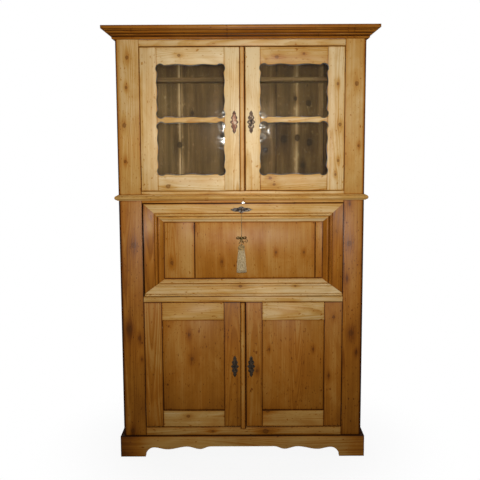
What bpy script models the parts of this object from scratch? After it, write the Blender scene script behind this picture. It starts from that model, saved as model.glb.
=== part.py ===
"""Glazed pine cupboard with a fall front: an upper case with two glazed doors, a writing
compartment behind a fall front with its key and tassel, and a lower case with two panelled doors.

Metres, +Z up, front towards -Y. The origin is under the middle of the cornice's plan, on the floor.
Every separate board is its own object. Touching boards keep a seam of SEAM between them.
"""

import math

import bmesh
import bpy
from mathutils import Matrix, Vector

# Overall sizes
HEIGHT = 2.044
BODY_WIDTH = 1.153
BODY_DEPTH = 0.500
CORNICE_OUT = 0.0555
WAIST_OUT = 0.017
PLINTH_OUT = 0.015

# Levels of the front, from the floor up
PLINTH_TOP = 0.102
LOWER_DOOR_BOTTOM = 0.143
LOWER_DOOR_TOP = 0.7625
DESK_TOP = 0.789
FALL_TOP = 1.236
LOWER_CASE_TOP = 1.2485
WAIST_TOP = 1.275
UPPER_DOOR_BOTTOM = 1.292
UPPER_DOOR_TOP = 1.955
CORNICE_BOTTOM = 1.986
CASE_RIM = 2.039
LOWER_SHELF = 0.452
UPPER_SHELF = 1.846

# Timber
SEAM = 0.0003
LEFT_POST = 0.1085
RIGHT_POST = 0.0960
POST_THICK = 0.028
POST_ROUND = 0.010
SIDE_THICK = 0.020
BACK_THICK = 0.012
SHELF_THICK = 0.0165
FLOOR_THICK = 0.020
PLINTH_THICK = 0.022
SHELF_SETBACK = 0.050
PLATE_SHELF_THICK = 0.0215
PLATE_SHELF_DEPTH = 0.100
BACK_BOARD = 0.2495
BACK_JOINT = -0.0655
BACK_GROOVE = 0.002

# Doors
DOOR_GAP = 0.0015
UPPER_TOP_GAP = 0.0030
LOWER_BOTTOM_GAP = 0.0030
DOOR_THICK = 0.024
LEAF_SPLIT = 0.0195
LEAF_GAP = 0.0016
STRIP_WIDTH = 0.0265
STRIP_OUT = 0.009
UPPER_STILES = (0.0770, 0.0820)
LOWER_STILES = (0.0840, 0.0908)
PANEL_RECESS = 0.0095
PANEL_THICK = 0.008
GROOVE_DEPTH = 0.008
PANEL_PLAY = 0.001
LOWER_PANEL_BOTTOM = 0.226
LOWER_PANEL_TOP = 0.6735

# Glazing: scalloped lights with a small round lobe at each corner
LIGHT_BOTTOM = 1.367
BAR_BOTTOM = 1.6115
BAR_TOP = 1.6315
LIGHT_TOP = 1.875
LOBE_CENTRE = 0.0185
CUSP_ALONG = 0.035
CUSP_IN = 0.0035
WAVE_HEIGHT = 0.0050
BAR_WAVE = 0.0030
WAVE_STEPS = 20
LOBE_STEPS = 8
GLASS_FRONT = 0.0127
GLASS_THICK = 0.0028
GLASS_LAP = 0.0095

# Fall front
FALL_LEFT_GAP = 0.006
FALL_TOP_GAP = 0.0035
FALL_THICK = 0.028
FALL_SIDE = 0.0965
FALL_HEAD = 0.0875
FALL_FOOT = 0.0700
FALL_GROOVE = 0.096
FALL_BEAD = 0.0135
BEAD_HEIGHT = 0.0104
BEAD_LAP = 0.001
BEAD_QUIRK = 0.003
FALL_RECESS = 0.0125
FALL_PANEL_THICK = 0.009
PANEL_JOINTS = (-0.2226, 0.3490)
PANEL_GROOVE = 0.0016

# Lock, key and tassel
KEY_Z = 1.204
KEY_STEM = 0.0028
KEY_CLEARANCE = 0.0008
BOW_OUT = 0.026
BOW_RADIUS = 0.009
BOW_WIRE = 0.002
BIT_REACH = 0.0105
BIT_HALF = 0.0012
BIT_FRONT = 0.0120
BIT_REAR = 0.0200
STEM_END = 0.0225
BOLT_X = 0.009
BOLT_HALF = 0.0065
BOLT_BOTTOM = 1.2220
BOLT_TOP = 1.2320
BOLT_Y = 0.0165
BOLT_THICK = 0.008
LOCK_HALF = 0.020
LOCK_BOTTOM = 1.191
LOCK_WALL = 0.0095
LOCK_PLATE_HALF = 0.034
LOCK_PLATE_BOTTOM = 1.180
LOCK_PLATE_THICK = 0.002
ESCUTCHEON_THICK = 0.0015
STRIKE_RADIUS = 0.0095
CORD_RADIUS = 0.001
CORD_LENGTH = 0.1476
CORD_SWAY = 0.0012
CORD_POINTS = 30

HALF = BODY_WIDTH / 2
OPENING = HALF - (LEFT_POST + RIGHT_POST) / 2
MIDDLE = (LEFT_POST - RIGHT_POST) / 2
FRONT = (CORNICE_OUT - BODY_DEPTH) / 2
BACK = FRONT + BODY_DEPTH
INSIDE = HALF - SIDE_THICK
BEHIND_POST = FRONT + POST_THICK + SEAM
BACK_FACE = BACK - BACK_THICK
LOBE_RADIUS = math.hypot(CUSP_ALONG - LOBE_CENTRE, CUSP_IN - LOBE_CENTRE)


# ---------------------------------------------------------------- scene and materials

def clear_scene():
    for thing in list(bpy.data.objects):
        bpy.data.objects.remove(thing, do_unlink=True)


def material(name, colour, roughness, metallic=0.0):
    mat = bpy.data.materials.new(name)
    mat.use_nodes = True
    shader = mat.node_tree.nodes["Principled BSDF"]
    shader.inputs["Base Color"].default_value = (*colour, 1.0)
    shader.inputs["Roughness"].default_value = roughness
    shader.inputs["Metallic"].default_value = metallic
    mat.diffuse_color = (*colour, 1.0)
    return mat


def empty(name, place):
    """The pivot of a moving body: its pieces are parented to it."""
    pivot = bpy.data.objects.new(name, None)
    pivot.location = place
    bpy.context.scene.collection.objects.link(pivot)
    return pivot


def add(name, mesh, mat, pivot=None):
    """Link a mesh whose points are already in world metres, and hang it on its pivot."""
    thing = bpy.data.objects.new(name, mesh)
    bpy.context.scene.collection.objects.link(thing)
    if mat is not None:
        thing.data.materials.append(mat)
    if pivot is not None:
        thing.parent = pivot
        thing.matrix_parent_inverse = Matrix.Translation(-Vector(pivot.location))
    return thing


# ---------------------------------------------------------------- solids

def finish_mesh(name, bm):
    bmesh.ops.recalc_face_normals(bm, faces=bm.faces)
    mesh = bpy.data.meshes.new(name)
    bm.to_mesh(mesh)
    bm.free()
    return mesh


def loft(name, rings, closed=False):
    """A solid through rings of equal point count: capped at both ends, or closed on itself."""
    bm = bmesh.new()
    loops = [[bm.verts.new(point) for point in ring] for ring in rings]
    pairs = list(zip(loops, loops[1:]))
    if closed:
        pairs.append((loops[-1], loops[0]))
    else:
        bm.faces.new(loops[0])
        bm.faces.new(loops[-1])
    count = len(loops[0])
    for low, high in pairs:
        for i in range(count):
            j = (i + 1) % count
            bm.faces.new((low[i], low[j], high[j], high[i]))
    return finish_mesh(name, bm)


def prism(name, outline, axis, low, high, mat, pivot=None):
    """Extrude an outline along an axis. Its points are (y, z), (x, z) or (x, y) for X, Y or Z."""
    def place(point, along):
        place_at = {"X": (along, *point), "Y": (point[0], along, point[1]), "Z": (*point, along)}
        return place_at[axis]

    rings = [[place(point, along) for point in outline] for along in (low, high)]
    return add(name, loft(name, rings), mat, pivot)


def box(name, low, high, mat, pivot=None):
    outline = [(low[0], low[1]), (high[0], low[1]), (high[0], high[1]), (low[0], high[1])]
    return prism(name, outline, "Z", low[2], high[2], mat, pivot)


def cylinder(name, centre, radius, low, high, steps=20, axis="Y"):
    outline = arc(centre, radius, 0, 360, steps)[:-1]
    return prism(name, outline, axis, low, high, None)


def tool(thing):
    """Mark a solid as a shaping tool, which isn't a piece."""
    thing.hide_render = True
    thing.display_type = "WIRE"
    return thing


def shape(thing, operand, operation="DIFFERENCE"):
    modifier = thing.modifiers.new(operation.title(), "BOOLEAN")
    modifier.operation = operation
    modifier.solver = "EXACT"
    modifier.object = tool(operand)
    return thing


def arc(centre, radius, start, end, steps):
    angles = [math.radians(start + (end - start) * i / steps) for i in range(steps + 1)]
    return [(centre[0] + radius * math.cos(a), centre[1] + radius * math.sin(a)) for a in angles]


def mirrored(outline, side):
    return [(side * x, y) for x, y in outline]


# ---------------------------------------------------------------- carcass

def opening_edge(side, gap=0.0):
    """X of one side of the opening between the posts, or of a piece that stands clear of it."""
    return MIDDLE + side * (OPENING - gap)


def board_plan():
    """A board whose front edge shows between the posts and which widens behind them."""
    left, right = opening_edge(-1, SEAM), opening_edge(1, SEAM)
    wide, rear = INSIDE - SEAM, BACK_FACE - SEAM
    return [(right, FRONT), (right, BEHIND_POST), (wide, BEHIND_POST), (wide, rear), (-wide, rear),
            (-wide, BEHIND_POST), (left, BEHIND_POST), (left, FRONT)]


def make_post(name, side, low, high, mat):
    corner = (HALF - POST_ROUND, FRONT + POST_ROUND)
    inner = side * opening_edge(side)
    outline = [(inner, FRONT)] + arc(corner, POST_ROUND, -90, 0, 6)
    outline += [(HALF, FRONT + POST_THICK), (inner, FRONT + POST_THICK)]
    prism(name, mirrored(outline, side), "Z", low, high, mat)


def grooved_joint(x, size, face):
    """V groove in plan, where two boards of a panel or a back meet."""
    return [(x - size / 2, face), (x, face + size), (x + size / 2, face)]


def make_back(name, low, high, mat):
    """Vertical back boards with a V groove at each joint."""
    outline = [(INSIDE - SEAM, BACK), (-INSIDE + SEAM, BACK), (-INSIDE + SEAM, BACK_FACE)]
    first = BACK_JOINT - BACK_BOARD
    for joint in [first + i * BACK_BOARD for i in range(4)]:
        outline += grooved_joint(joint, BACK_GROOVE, BACK_FACE)
    outline.append((INSIDE - SEAM, BACK_FACE))
    prism(name, outline, "Z", low, high, mat)


def make_case(prefix, low, high, side_mat, post_mat, back_mat):
    """The posts, sides and back of one case."""
    for word, side in (("left", -1), ("right", 1)):
        make_post(f"{prefix}_post_{word}", side, low, high, post_mat)
        near, far = sorted((side * INSIDE, side * HALF))
        box(f"{prefix}_side_{word}", (near, BEHIND_POST, low), (far, BACK, high), side_mat)
    make_back(f"{prefix}_back", low, high, back_mat)


def make_shelf(name, front, top, thick, mat):
    box(name, (-INSIDE + SEAM, front, top - thick), (INSIDE - SEAM, BACK_FACE - SEAM, top), mat)


def make_waist_board(mat):
    """The lower case's top board, with a half-round nosing on its front and sides."""
    nose = arc((0.0068, 0.0133), 0.0102, -90, 90, 8)
    profile = [(0.0065, SEAM), (0.0065, 0.0027)] + nose + [(0.0035, 0.0238), (0.0035, 0.0265)]
    rings = []
    for out, up in profile:
        x = HALF + out
        y = FRONT - out
        z = LOWER_CASE_TOP + up
        rings.append([(-x, y, z), (x, y, z), (x, BACK, z), (-x, BACK, z)])
    add("waist_board", loft("waist_board", rings), mat)


def cornice_profile():
    """(projection, height) from the bottom: bead, ovolo, cove and top fillet, with quirks between."""
    profile = [(SEAM, 0.0), (0.0065, 0.0)] + arc((0.0070, 0.0072), 0.0062, -80, 80, 6)
    profile += [(0.0085, 0.0142), (0.0085, 0.0152), (0.0160, 0.0156)]
    profile += arc((0.0165, 0.0222), 0.0064, -75, -5, 4)
    profile += [(0.0200, 0.0226), (0.0200, 0.0236), (0.0262, 0.0240)]
    cove = arc((0.0262, 0.0395), 0.0148, -78, -20, 6)
    profile += cove + [(0.0385, 0.0364), (0.0385, 0.0374), (0.0440, 0.0378)]
    profile += arc((0.0432, 0.0428), 0.0048, -60, 0, 3)
    return profile + [(0.0460, 0.0434), (CORNICE_OUT, 0.0442), (CORNICE_OUT, HEIGHT - CORNICE_BOTTOM),
                      (SEAM, HEIGHT - CORNICE_BOTTOM)]


def make_cornice(mat):
    profile = cornice_profile()
    ends = [[(s * (HALF + p - SEAM), FRONT - p, CORNICE_BOTTOM + z) for p, z in profile] for s in (-1, 1)]
    add("cornice_front", loft("cornice_front", ends), mat)
    for word, side in (("left", -1), ("right", 1)):
        front = [(side * (HALF + p), FRONT - p + SEAM, CORNICE_BOTTOM + z) for p, z in profile]
        rear = [(side * (HALF + p), BACK, CORNICE_BOTTOM + z) for p, z in profile]
        name = f"cornice_{word}"
        add(name, loft(name, [front, rear]), mat)


def apron_edge():
    """Lower edge of the front apron, from the middle out to the foot: crests, troughs, an arch end."""
    knots = [(0.155, 0.050), (0.205, 0.037), (0.268, 0.0495), (0.365, 0.036), (0.430, 0.046)]
    edge = [knots[0]]
    for (x0, z0), (x1, z1) in zip(knots, knots[1:]):
        for i in range(1, 8):
            t = i / 7
            blend = (1 - math.cos(math.pi * t)) / 2
            edge.append((x0 + (x1 - x0) * t, z0 + (z1 - z0) * blend))
    foot_in = 0.0410
    for i in range(1, 7):
        angle = math.pi / 2 * i / 6
        edge.append((knots[-1][0] + foot_in * math.sin(angle), knots[-1][1] * math.cos(angle)))
    return edge


def make_plinth(mat):
    face = FRONT - PLINTH_OUT
    outer = HALF + PLINTH_OUT
    half = apron_edge() + [(outer, 0.0), (outer, PLINTH_TOP)]
    prism("plinth_front", half + mirrored(half[::-1], -1), "Y", face, face + PLINTH_THICK, mat)
    start = face + PLINTH_THICK + SEAM
    foot, rise, round_ = 0.105, 0.045, 0.030
    arch = [(start, 0.0), (start + foot - PLINTH_THICK, 0.0)]
    near = arch[-1][0]
    far = BACK - foot
    arch += [(near + round_ * (1 - math.cos(a)), rise * math.sin(a)) for a in quarter_turns()]
    arch += [(far - round_ * (1 - math.cos(a)), rise * math.sin(a)) for a in reversed(quarter_turns())]
    arch += [(far, 0.0), (BACK, 0.0), (BACK, PLINTH_TOP), (start, PLINTH_TOP)]
    for word, side in (("left", -1), ("right", 1)):
        low, high = sorted((side * (outer - PLINTH_THICK), side * outer))
        prism(f"plinth_{word}", arch, "X", low, high, mat)


def quarter_turns(steps=6):
    return [math.pi / 2 * i / steps for i in range(1, steps + 1)]


def make_carcass(mats):
    pine, dark, pale = mats["pine"], mats["pine_dark"], mats["pine_inside"]
    make_case("lower", PLINTH_TOP + SEAM, LOWER_CASE_TOP, pine, pine, pale)
    make_case("upper", WAIST_TOP + SEAM, CASE_RIM, pine, pine, pale)
    plan = board_plan()
    prism("upper_top", plan, "Z", UPPER_DOOR_TOP, CORNICE_BOTTOM, pine)
    prism("upper_floor", plan, "Z", WAIST_TOP + SEAM, UPPER_DOOR_BOTTOM, pine)
    prism("desk_floor", plan, "Z", LOWER_DOOR_TOP, DESK_TOP, pine)
    make_shelf("upper_shelf", BACK_FACE - PLATE_SHELF_DEPTH, UPPER_SHELF, PLATE_SHELF_THICK, pale)
    make_shelf("lower_shelf", FRONT + SHELF_SETBACK, LOWER_SHELF, SHELF_THICK, pale)
    left, right = opening_edge(-1, SEAM), opening_edge(1, SEAM)
    rear = FRONT + POST_THICK
    box("bottom_rail", (left, FRONT, PLINTH_TOP + SEAM), (right, rear, LOWER_DOOR_BOTTOM), pine)
    low = (-INSIDE + SEAM, BEHIND_POST, LOWER_DOOR_BOTTOM - FLOOR_THICK)
    box("lower_floor", low, (INSIDE - SEAM, BACK_FACE - SEAM, LOWER_DOOR_BOTTOM), pale)
    head = box("fall_head_rail", (left, FRONT, FALL_TOP), (right, rear, LOWER_CASE_TOP), pine)
    shape(head, cylinder("strike_notch", (BOLT_X, FALL_TOP), STRIKE_RADIUS, FRONT - 0.005, rear - 0.0045))
    make_waist_board(pine)
    make_cornice(dark)
    make_plinth(dark)


# ---------------------------------------------------------------- doors

def groove(front_depth, thick):
    """Where a panel's groove starts and ends, behind the front plane."""
    return FRONT + front_depth - SEAM, FRONT + front_depth + thick + SEAM


def grooved_section(inner, outer, swap):
    """Section of a grooved frame member: (x, y) for a stile, (y, z) for a rail when swapped."""
    near, far = groove(PANEL_RECESS, PANEL_THICK)
    deep = inner + math.copysign(GROOVE_DEPTH, outer - inner)
    back = FRONT + DOOR_THICK
    section = [(outer, FRONT), (outer, back), (inner, back), (inner, far), (deep, far), (deep, near),
               (inner, near), (inner, FRONT)]
    return [(y, x) for x, y in section] if swap else section


def leaf_edges(side, stiles):
    """X of a leaf's meeting edge, lock stile's inner edge, hinge stile's inner edge, hinge edge.

    The stiles are given as the hinge stile's width and the lock stile's reach from the middle.
    """
    hinge_stile, reach = stiles
    hinge = opening_edge(side, DOOR_GAP)
    return LEAF_SPLIT + side * LEAF_GAP / 2, MIDDLE + side * reach, hinge - side * hinge_stile, hinge


def door_pivot(prefix, side, z):
    return empty(f"{prefix}_pivot", (opening_edge(side, DOOR_GAP / 2), FRONT, z))


def make_lower_door(word, side, mats):
    prefix = f"lower_{word}"
    pine = mats["pine"]
    low = LOWER_DOOR_BOTTOM + LOWER_BOTTOM_GAP
    high = LOWER_DOOR_TOP - DOOR_GAP
    pivot = door_pivot(prefix, side, low)
    meeting, lock_in, hinge_in, hinge = leaf_edges(side, LOWER_STILES)
    prism(f"{prefix}_hinge_stile", grooved_section(hinge_in, hinge, False), "Z", low, high, pine, pivot)
    prism(f"{prefix}_lock_stile", grooved_section(lock_in, meeting, False), "Z", low, high, pine, pivot)
    ends = sorted((lock_in + side * SEAM, hinge_in - side * SEAM))
    top = grooved_section(LOWER_PANEL_TOP, high, True)
    bottom = grooved_section(LOWER_PANEL_BOTTOM, low, True)
    prism(f"{prefix}_top_rail", top, "X", *ends, pine, pivot)
    prism(f"{prefix}_bottom_rail", bottom, "X", *ends, pine, pivot)
    lap = GROOVE_DEPTH - PANEL_PLAY
    near, far = sorted((lock_in - side * lap, hinge_in + side * lap))
    front = FRONT + PANEL_RECESS
    box(f"{prefix}_panel", (near, front, LOWER_PANEL_BOTTOM - lap),
        (far, front + PANEL_THICK, LOWER_PANEL_TOP + lap), mats["pine_panel"], pivot)
    return pivot


def wave_offset(t, height):
    """How far a scalloped edge stands into the light between its two cusps."""
    return CUSP_IN - height * (1 - math.cos(4 * math.pi * t)) / 2


def lobe(start, end):
    """Points of a corner lobe as (along X, along Z) from the light's corner."""
    return arc((LOBE_CENTRE, LOBE_CENTRE), LOBE_RADIUS, start, end, LOBE_STEPS)


def lobe_angle(distance):
    """Angle of the lobe at which it stands this far from the side of the light."""
    return 360 - math.degrees(math.acos((distance - LOBE_CENTRE) / LOBE_RADIUS))


def scallop(length, corner, height=WAVE_HEIGHT):
    """(along, into the light) for one edge: half a lobe, a wave, half a lobe."""
    run = length - 2 * CUSP_ALONG
    steps = range(1, WAVE_STEPS)
    wave = [(CUSP_ALONG + run * i / WAVE_STEPS, wave_offset(i / WAVE_STEPS, height)) for i in steps]
    return corner + wave + [(length - along, inward) for along, inward in reversed(corner)]


def stile_scallop(length):
    cusp = math.degrees(math.atan2(CUSP_ALONG - LOBE_CENTRE, CUSP_IN - LOBE_CENTRE))
    corner = [(z, x) for x, z in lobe(lobe_angle(0.0), cusp)]
    return scallop(length, corner)


def rail_scallop(length, height):
    """The rail ends SEAM short of the stile, so its lobe starts there."""
    cusp = 360 + math.degrees(math.atan2(CUSP_IN - LOBE_CENTRE, CUSP_ALONG - LOBE_CENTRE))
    return scallop(length, lobe(lobe_angle(SEAM), cusp), height)


def make_upper_stile(name, inner, outer, low, high, mat, pivot):
    """A stile whose inner edge is scalloped beside both lights."""
    inward = math.copysign(1.0, inner - outer)
    edge = []
    for bottom, top in ((LIGHT_BOTTOM, BAR_BOTTOM), (BAR_TOP, LIGHT_TOP)):
        edge += [(inner + inward * into, bottom + along) for along, into in stile_scallop(top - bottom)]
    outline = [(outer, low), (inner, low), *edge, (inner, high), (outer, high)]
    return prism(name, outline, "Y", FRONT, FRONT + DOOR_THICK, mat, pivot)


def make_upper_door(word, side, mats):
    prefix = f"upper_{word}"
    pine = mats["pine"]
    low = UPPER_DOOR_BOTTOM + DOOR_GAP
    high = UPPER_DOOR_TOP - UPPER_TOP_GAP
    pivot = door_pivot(prefix, side, low)
    meeting, lock_in, hinge_in, hinge = leaf_edges(side, UPPER_STILES)
    left, right = sorted((lock_in, hinge_in))

    lap = GLASS_LAP
    glass_y = FRONT + GLASS_FRONT
    rebate = box(f"{prefix}_rebate", (left - lap - SEAM, glass_y, LIGHT_BOTTOM - lap - SEAM),
                 (right + lap + SEAM, FRONT + 2 * DOOR_THICK, LIGHT_TOP + lap + SEAM), None)

    stile = make_upper_stile(f"{prefix}_hinge_stile", hinge_in, hinge, low, high, pine, pivot)
    shape(stile, rebate)
    stile = make_upper_stile(f"{prefix}_lock_stile", lock_in, meeting, low, high, pine, pivot)
    shape(stile, rebate)

    def edge(z, up, height=WAVE_HEIGHT):
        path = rail_scallop(right - left, height)
        return [(left + along, z + up * into) for along, into in path]

    ends = (left + SEAM, right - SEAM)
    back = FRONT + DOOR_THICK
    outline = [(ends[1], low), (ends[0], low)] + edge(LIGHT_BOTTOM, 1)
    shape(prism(f"{prefix}_bottom_rail", outline, "Y", FRONT, back, pine, pivot), rebate)
    outline = [(ends[1], high), (ends[0], high)] + edge(LIGHT_TOP, -1)
    shape(prism(f"{prefix}_top_rail", outline, "Y", FRONT, back, pine, pivot), rebate)
    outline = edge(BAR_BOTTOM, -1, BAR_WAVE) + edge(BAR_TOP, 1, BAR_WAVE)[::-1]
    prism(f"{prefix}_glazing_bar", outline, "Y", FRONT, glass_y - SEAM, pine, pivot)
    box(f"{prefix}_glass", (left - lap, glass_y + SEAM, LIGHT_BOTTOM - lap),
        (right + lap, glass_y + SEAM + GLASS_THICK, LIGHT_TOP + lap), mats["glass"], pivot)
    return pivot


def make_meeting_strip(name, low, high, mat, pivot):
    """Rounded strip on the left leaf's meeting edge."""
    right = LEAF_SPLIT - LEAF_GAP / 2
    left = right - STRIP_WIDTH
    face = FRONT - STRIP_OUT
    r = STRIP_OUT * 0.8
    outline = [(right, FRONT - SEAM), (left, FRONT - SEAM)]
    outline += arc((left + r, face + r), r, 180, 270, 5) + arc((right - r, face + r), r, 270, 360, 5)
    prism(name, outline, "Z", low, high, mat, pivot)


def make_doors(mats):
    upper_left = make_upper_door("left", -1, mats)
    make_upper_door("right", 1, mats)
    lower_left = make_lower_door("left", -1, mats)
    make_lower_door("right", 1, mats)
    dark = mats["pine_dark"]
    make_meeting_strip("upper_meeting_strip", UPPER_DOOR_BOTTOM + DOOR_GAP,
                       UPPER_DOOR_TOP - UPPER_TOP_GAP, dark, upper_left)
    make_meeting_strip("lower_meeting_strip", LOWER_DOOR_BOTTOM - 0.007, LOWER_DOOR_TOP - DOOR_GAP,
                       dark, lower_left)


# ---------------------------------------------------------------- fall front

def fall_profile():
    """A moulded frame member: (part of its width from the outer edge, height over the face)."""
    near, far = groove(FALL_RECESS, FALL_PANEL_THICK)
    deep = 1 - FALL_GROOVE
    front = [(0.0, 0.0), (0.512, 0.0), (0.524, 0.0020)]
    front += swelling((0.602, 0.0020), (0.072, 0.0060), (165, 15), 6)
    front += [(0.684, -0.0020), (0.699, 0.0000)]
    front += swelling((0.771, -0.0030), (0.075, 0.0062), (150, 40), 5)
    front += [(0.886, -0.0040), (0.940, -0.0080), (0.964, -0.0085), (0.970, -0.0105), (1.0, -0.0108)]
    back = [(1.0, FRONT - near), (deep, FRONT - near), (deep, FRONT - far), (1.0, FRONT - far),
            (1.0, -FALL_THICK), (0.0, -FALL_THICK)]
    return front + back


def swelling(centre, radii, turn, steps):
    """Part of an ellipse, turning between two angles in degrees."""
    unit = arc((0.0, 0.0), 1.0, *turn, steps)
    return [(centre[0] + radii[0] * x, centre[1] + radii[1] * y) for x, y in unit]


def make_fall(mats):
    pine = mats["pine"]
    left = opening_edge(-1, FALL_LEFT_GAP)
    right = opening_edge(1, DOOR_GAP)
    bottom = DESK_TOP + DOOR_GAP + FALL_BEAD
    top = FALL_TOP - FALL_TOP_GAP
    pivot = empty("fall_pivot", (0.0, FRONT, DESK_TOP + DOOR_GAP / 2))
    profile = fall_profile()

    def member(name, place):
        """Place maps (distance in, height, which end) to a point. The ends are mitred."""
        ends = [[place(d, FRONT - h, end) for d, h in profile] for end in (0, 1)]
        return add(name, loft(name, ends), pine, pivot)

    def across(d, end):
        return right - FALL_SIDE * d - SEAM if end else left + FALL_SIDE * d + SEAM

    def upright(d, end):
        return top - FALL_HEAD * d - SEAM if end else bottom + FALL_FOOT * d + SEAM

    def foot(d):
        return bottom + (FALL_FOOT * d or -BEAD_LAP)

    upper = member("fall_top_rail", lambda d, y, end: (across(d, end), y, top - FALL_HEAD * d))
    lower = member("fall_bottom_rail", lambda d, y, end: (across(d, end), y, foot(d)))
    member("fall_left_stile", lambda d, y, end: (left + FALL_SIDE * d, y, upright(d, end)))
    member("fall_right_stile", lambda d, y, end: (right - FALL_SIDE * d, y, upright(d, end)))

    bead_low = bottom - FALL_BEAD
    bead = arc((FRONT, bead_low + BEAD_HEIGHT / 2), BEAD_HEIGHT / 2, 270, 90, 8)
    bead += [(FRONT + BEAD_QUIRK, bead_low + BEAD_HEIGHT), (FRONT + BEAD_QUIRK, bottom - SEAM),
             (FRONT + FALL_THICK, bottom - SEAM), (FRONT + FALL_THICK, bead_low)]
    strip = prism("fall_bead", bead, "X", left + SEAM, right - SEAM, None)
    shape(lower, strip, "UNION")

    lap = 1 - FALL_GROOVE
    panel_left = left + FALL_SIDE * lap + PANEL_PLAY
    panel_right = right - FALL_SIDE * lap - PANEL_PLAY
    low, high = bottom + FALL_FOOT * lap + PANEL_PLAY, top - FALL_HEAD * lap - PANEL_PLAY
    front = FRONT + FALL_RECESS
    rear = front + FALL_PANEL_THICK
    outline = [(panel_right, rear), (panel_left, rear), (panel_left, front)]
    for joint in PANEL_JOINTS:
        outline += grooved_joint(joint, PANEL_GROOVE, front)
    outline.append((panel_right, front))
    prism("fall_panel", outline, "Z", low, high, mats["pine_panel"], pivot)
    make_lock(upper, pivot, mats)


# ---------------------------------------------------------------- lock, key and tassel

def keyhole_tools():
    """A round hole for the stem over a slot for the bit, through the rail and its plate."""
    hole = KEY_STEM + KEY_CLEARANCE
    slot = 0.0018
    low, high = FRONT - 0.01, FRONT + LOCK_WALL + 0.001
    round_hole = cylinder("keyhole_round", (0.0, KEY_Z), hole, low, high, 16)
    slot_hole = box("keyhole_slot", (-slot, low, KEY_Z - BIT_REACH - 0.0015), (slot, high, KEY_Z), None)
    return round_hole, slot_hole


def plate_outline():
    """Pointed plate with three pairs of lobes, lying along X."""
    length, height, lobes = 0.0550, 0.0158, 0.20
    half = []
    for i in range(33):
        t = i / 32
        swell = (1 - lobes * math.cos(6 * math.pi * t)) / (1 + lobes)
        half.append((length * (2 * t - 1), height * math.sin(math.pi * t) ** 1.1 * swell))
    return [(x, KEY_Z + z) for x, z in half] + [(x, KEY_Z - z) for x, z in half[-2:0:-1]]


def make_lock(rail, pivot, mats):
    iron = mats["iron"]
    round_hole, slot_hole = keyhole_tools()
    behind = FRONT + FALL_THICK
    mortise = box("lock_mortise", (-LOCK_HALF, FRONT + LOCK_WALL, LOCK_BOTTOM),
                  (LOCK_HALF, behind + 0.01, BOLT_BOTTOM + 0.0003), None)
    side, thick = BOLT_HALF + 2 * SEAM, BOLT_THICK / 2 + 2 * SEAM
    channel = box("bolt_channel", (BOLT_X - side, FRONT + BOLT_Y - thick, BOLT_BOTTOM - 0.001),
                  (BOLT_X + side, FRONT + BOLT_Y + thick, FALL_TOP), None)
    for cutter in (mortise, channel, round_hole, slot_hole):
        shape(rail, cutter)

    near = FRONT - SEAM - ESCUTCHEON_THICK
    plate = prism("fall_escutcheon", plate_outline(), "Y", near, FRONT - SEAM, iron, pivot)
    shape(plate, round_hole)
    shape(plate, slot_hole)
    box("fall_lock_plate", (-LOCK_PLATE_HALF, behind + SEAM, LOCK_PLATE_BOTTOM),
        (LOCK_PLATE_HALF, behind + SEAM + LOCK_PLATE_THICK, BOLT_TOP - 0.001), iron, pivot)

    bolt_pivot = empty("bolt_guide", (BOLT_X, FRONT + BOLT_Y, BOLT_BOTTOM))
    thick = BOLT_THICK / 2
    box("fall_lock_bolt", (BOLT_X - BOLT_HALF, FRONT + BOLT_Y - thick, BOLT_BOTTOM),
        (BOLT_X + BOLT_HALF, FRONT + BOLT_Y + thick, BOLT_TOP), iron, bolt_pivot)
    make_key(iron)
    make_tassel(mats)


def make_key(mat):
    """Round stem with a ring bow in front and a bit behind, turning about the stem's axis."""
    bow_y = FRONT - BOW_OUT
    pivot = empty("key_pivot", (0.0, bow_y, KEY_Z))
    stem_outline = arc((0.0, KEY_Z), KEY_STEM, 0, 360, 16)[:-1]
    stem = (bow_y + BOW_RADIUS - BOW_WIRE / 2, FRONT + STEM_END)
    key = prism("fall_key", stem_outline, "Y", *stem, mat, pivot)
    rings = []
    for i in range(28):
        turn = 2 * math.pi * i / 28
        ring = arc((BOW_RADIUS, 0.0), BOW_WIRE, 0, 360, 10)[:-1]
        rings.append([(x, bow_y + r * math.cos(turn), KEY_Z + r * math.sin(turn)) for r, x in ring])
    bow = add("key_bow", loft("key_bow", rings, closed=True), None)
    shape(key, bow, "UNION")
    bit = box("key_bit", (-BIT_HALF, FRONT + BIT_FRONT, KEY_Z - BIT_REACH),
              (BIT_HALF, FRONT + BIT_REAR, KEY_Z - KEY_STEM / 2), None)
    shape(key, bit, "UNION")


def cord_route():
    """The hanging cord, from under the key's bow down to the tassel's head."""
    top = KEY_Z - BOW_RADIUS - BOW_WIRE - 2 * SEAM
    points = []
    for i in range(CORD_POINTS):
        t = i / (CORD_POINTS - 1)
        points.append((CORD_SWAY * math.sin(math.pi * t) ** 2, FRONT - BOW_OUT, top - CORD_LENGTH * t))
    return points


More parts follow.
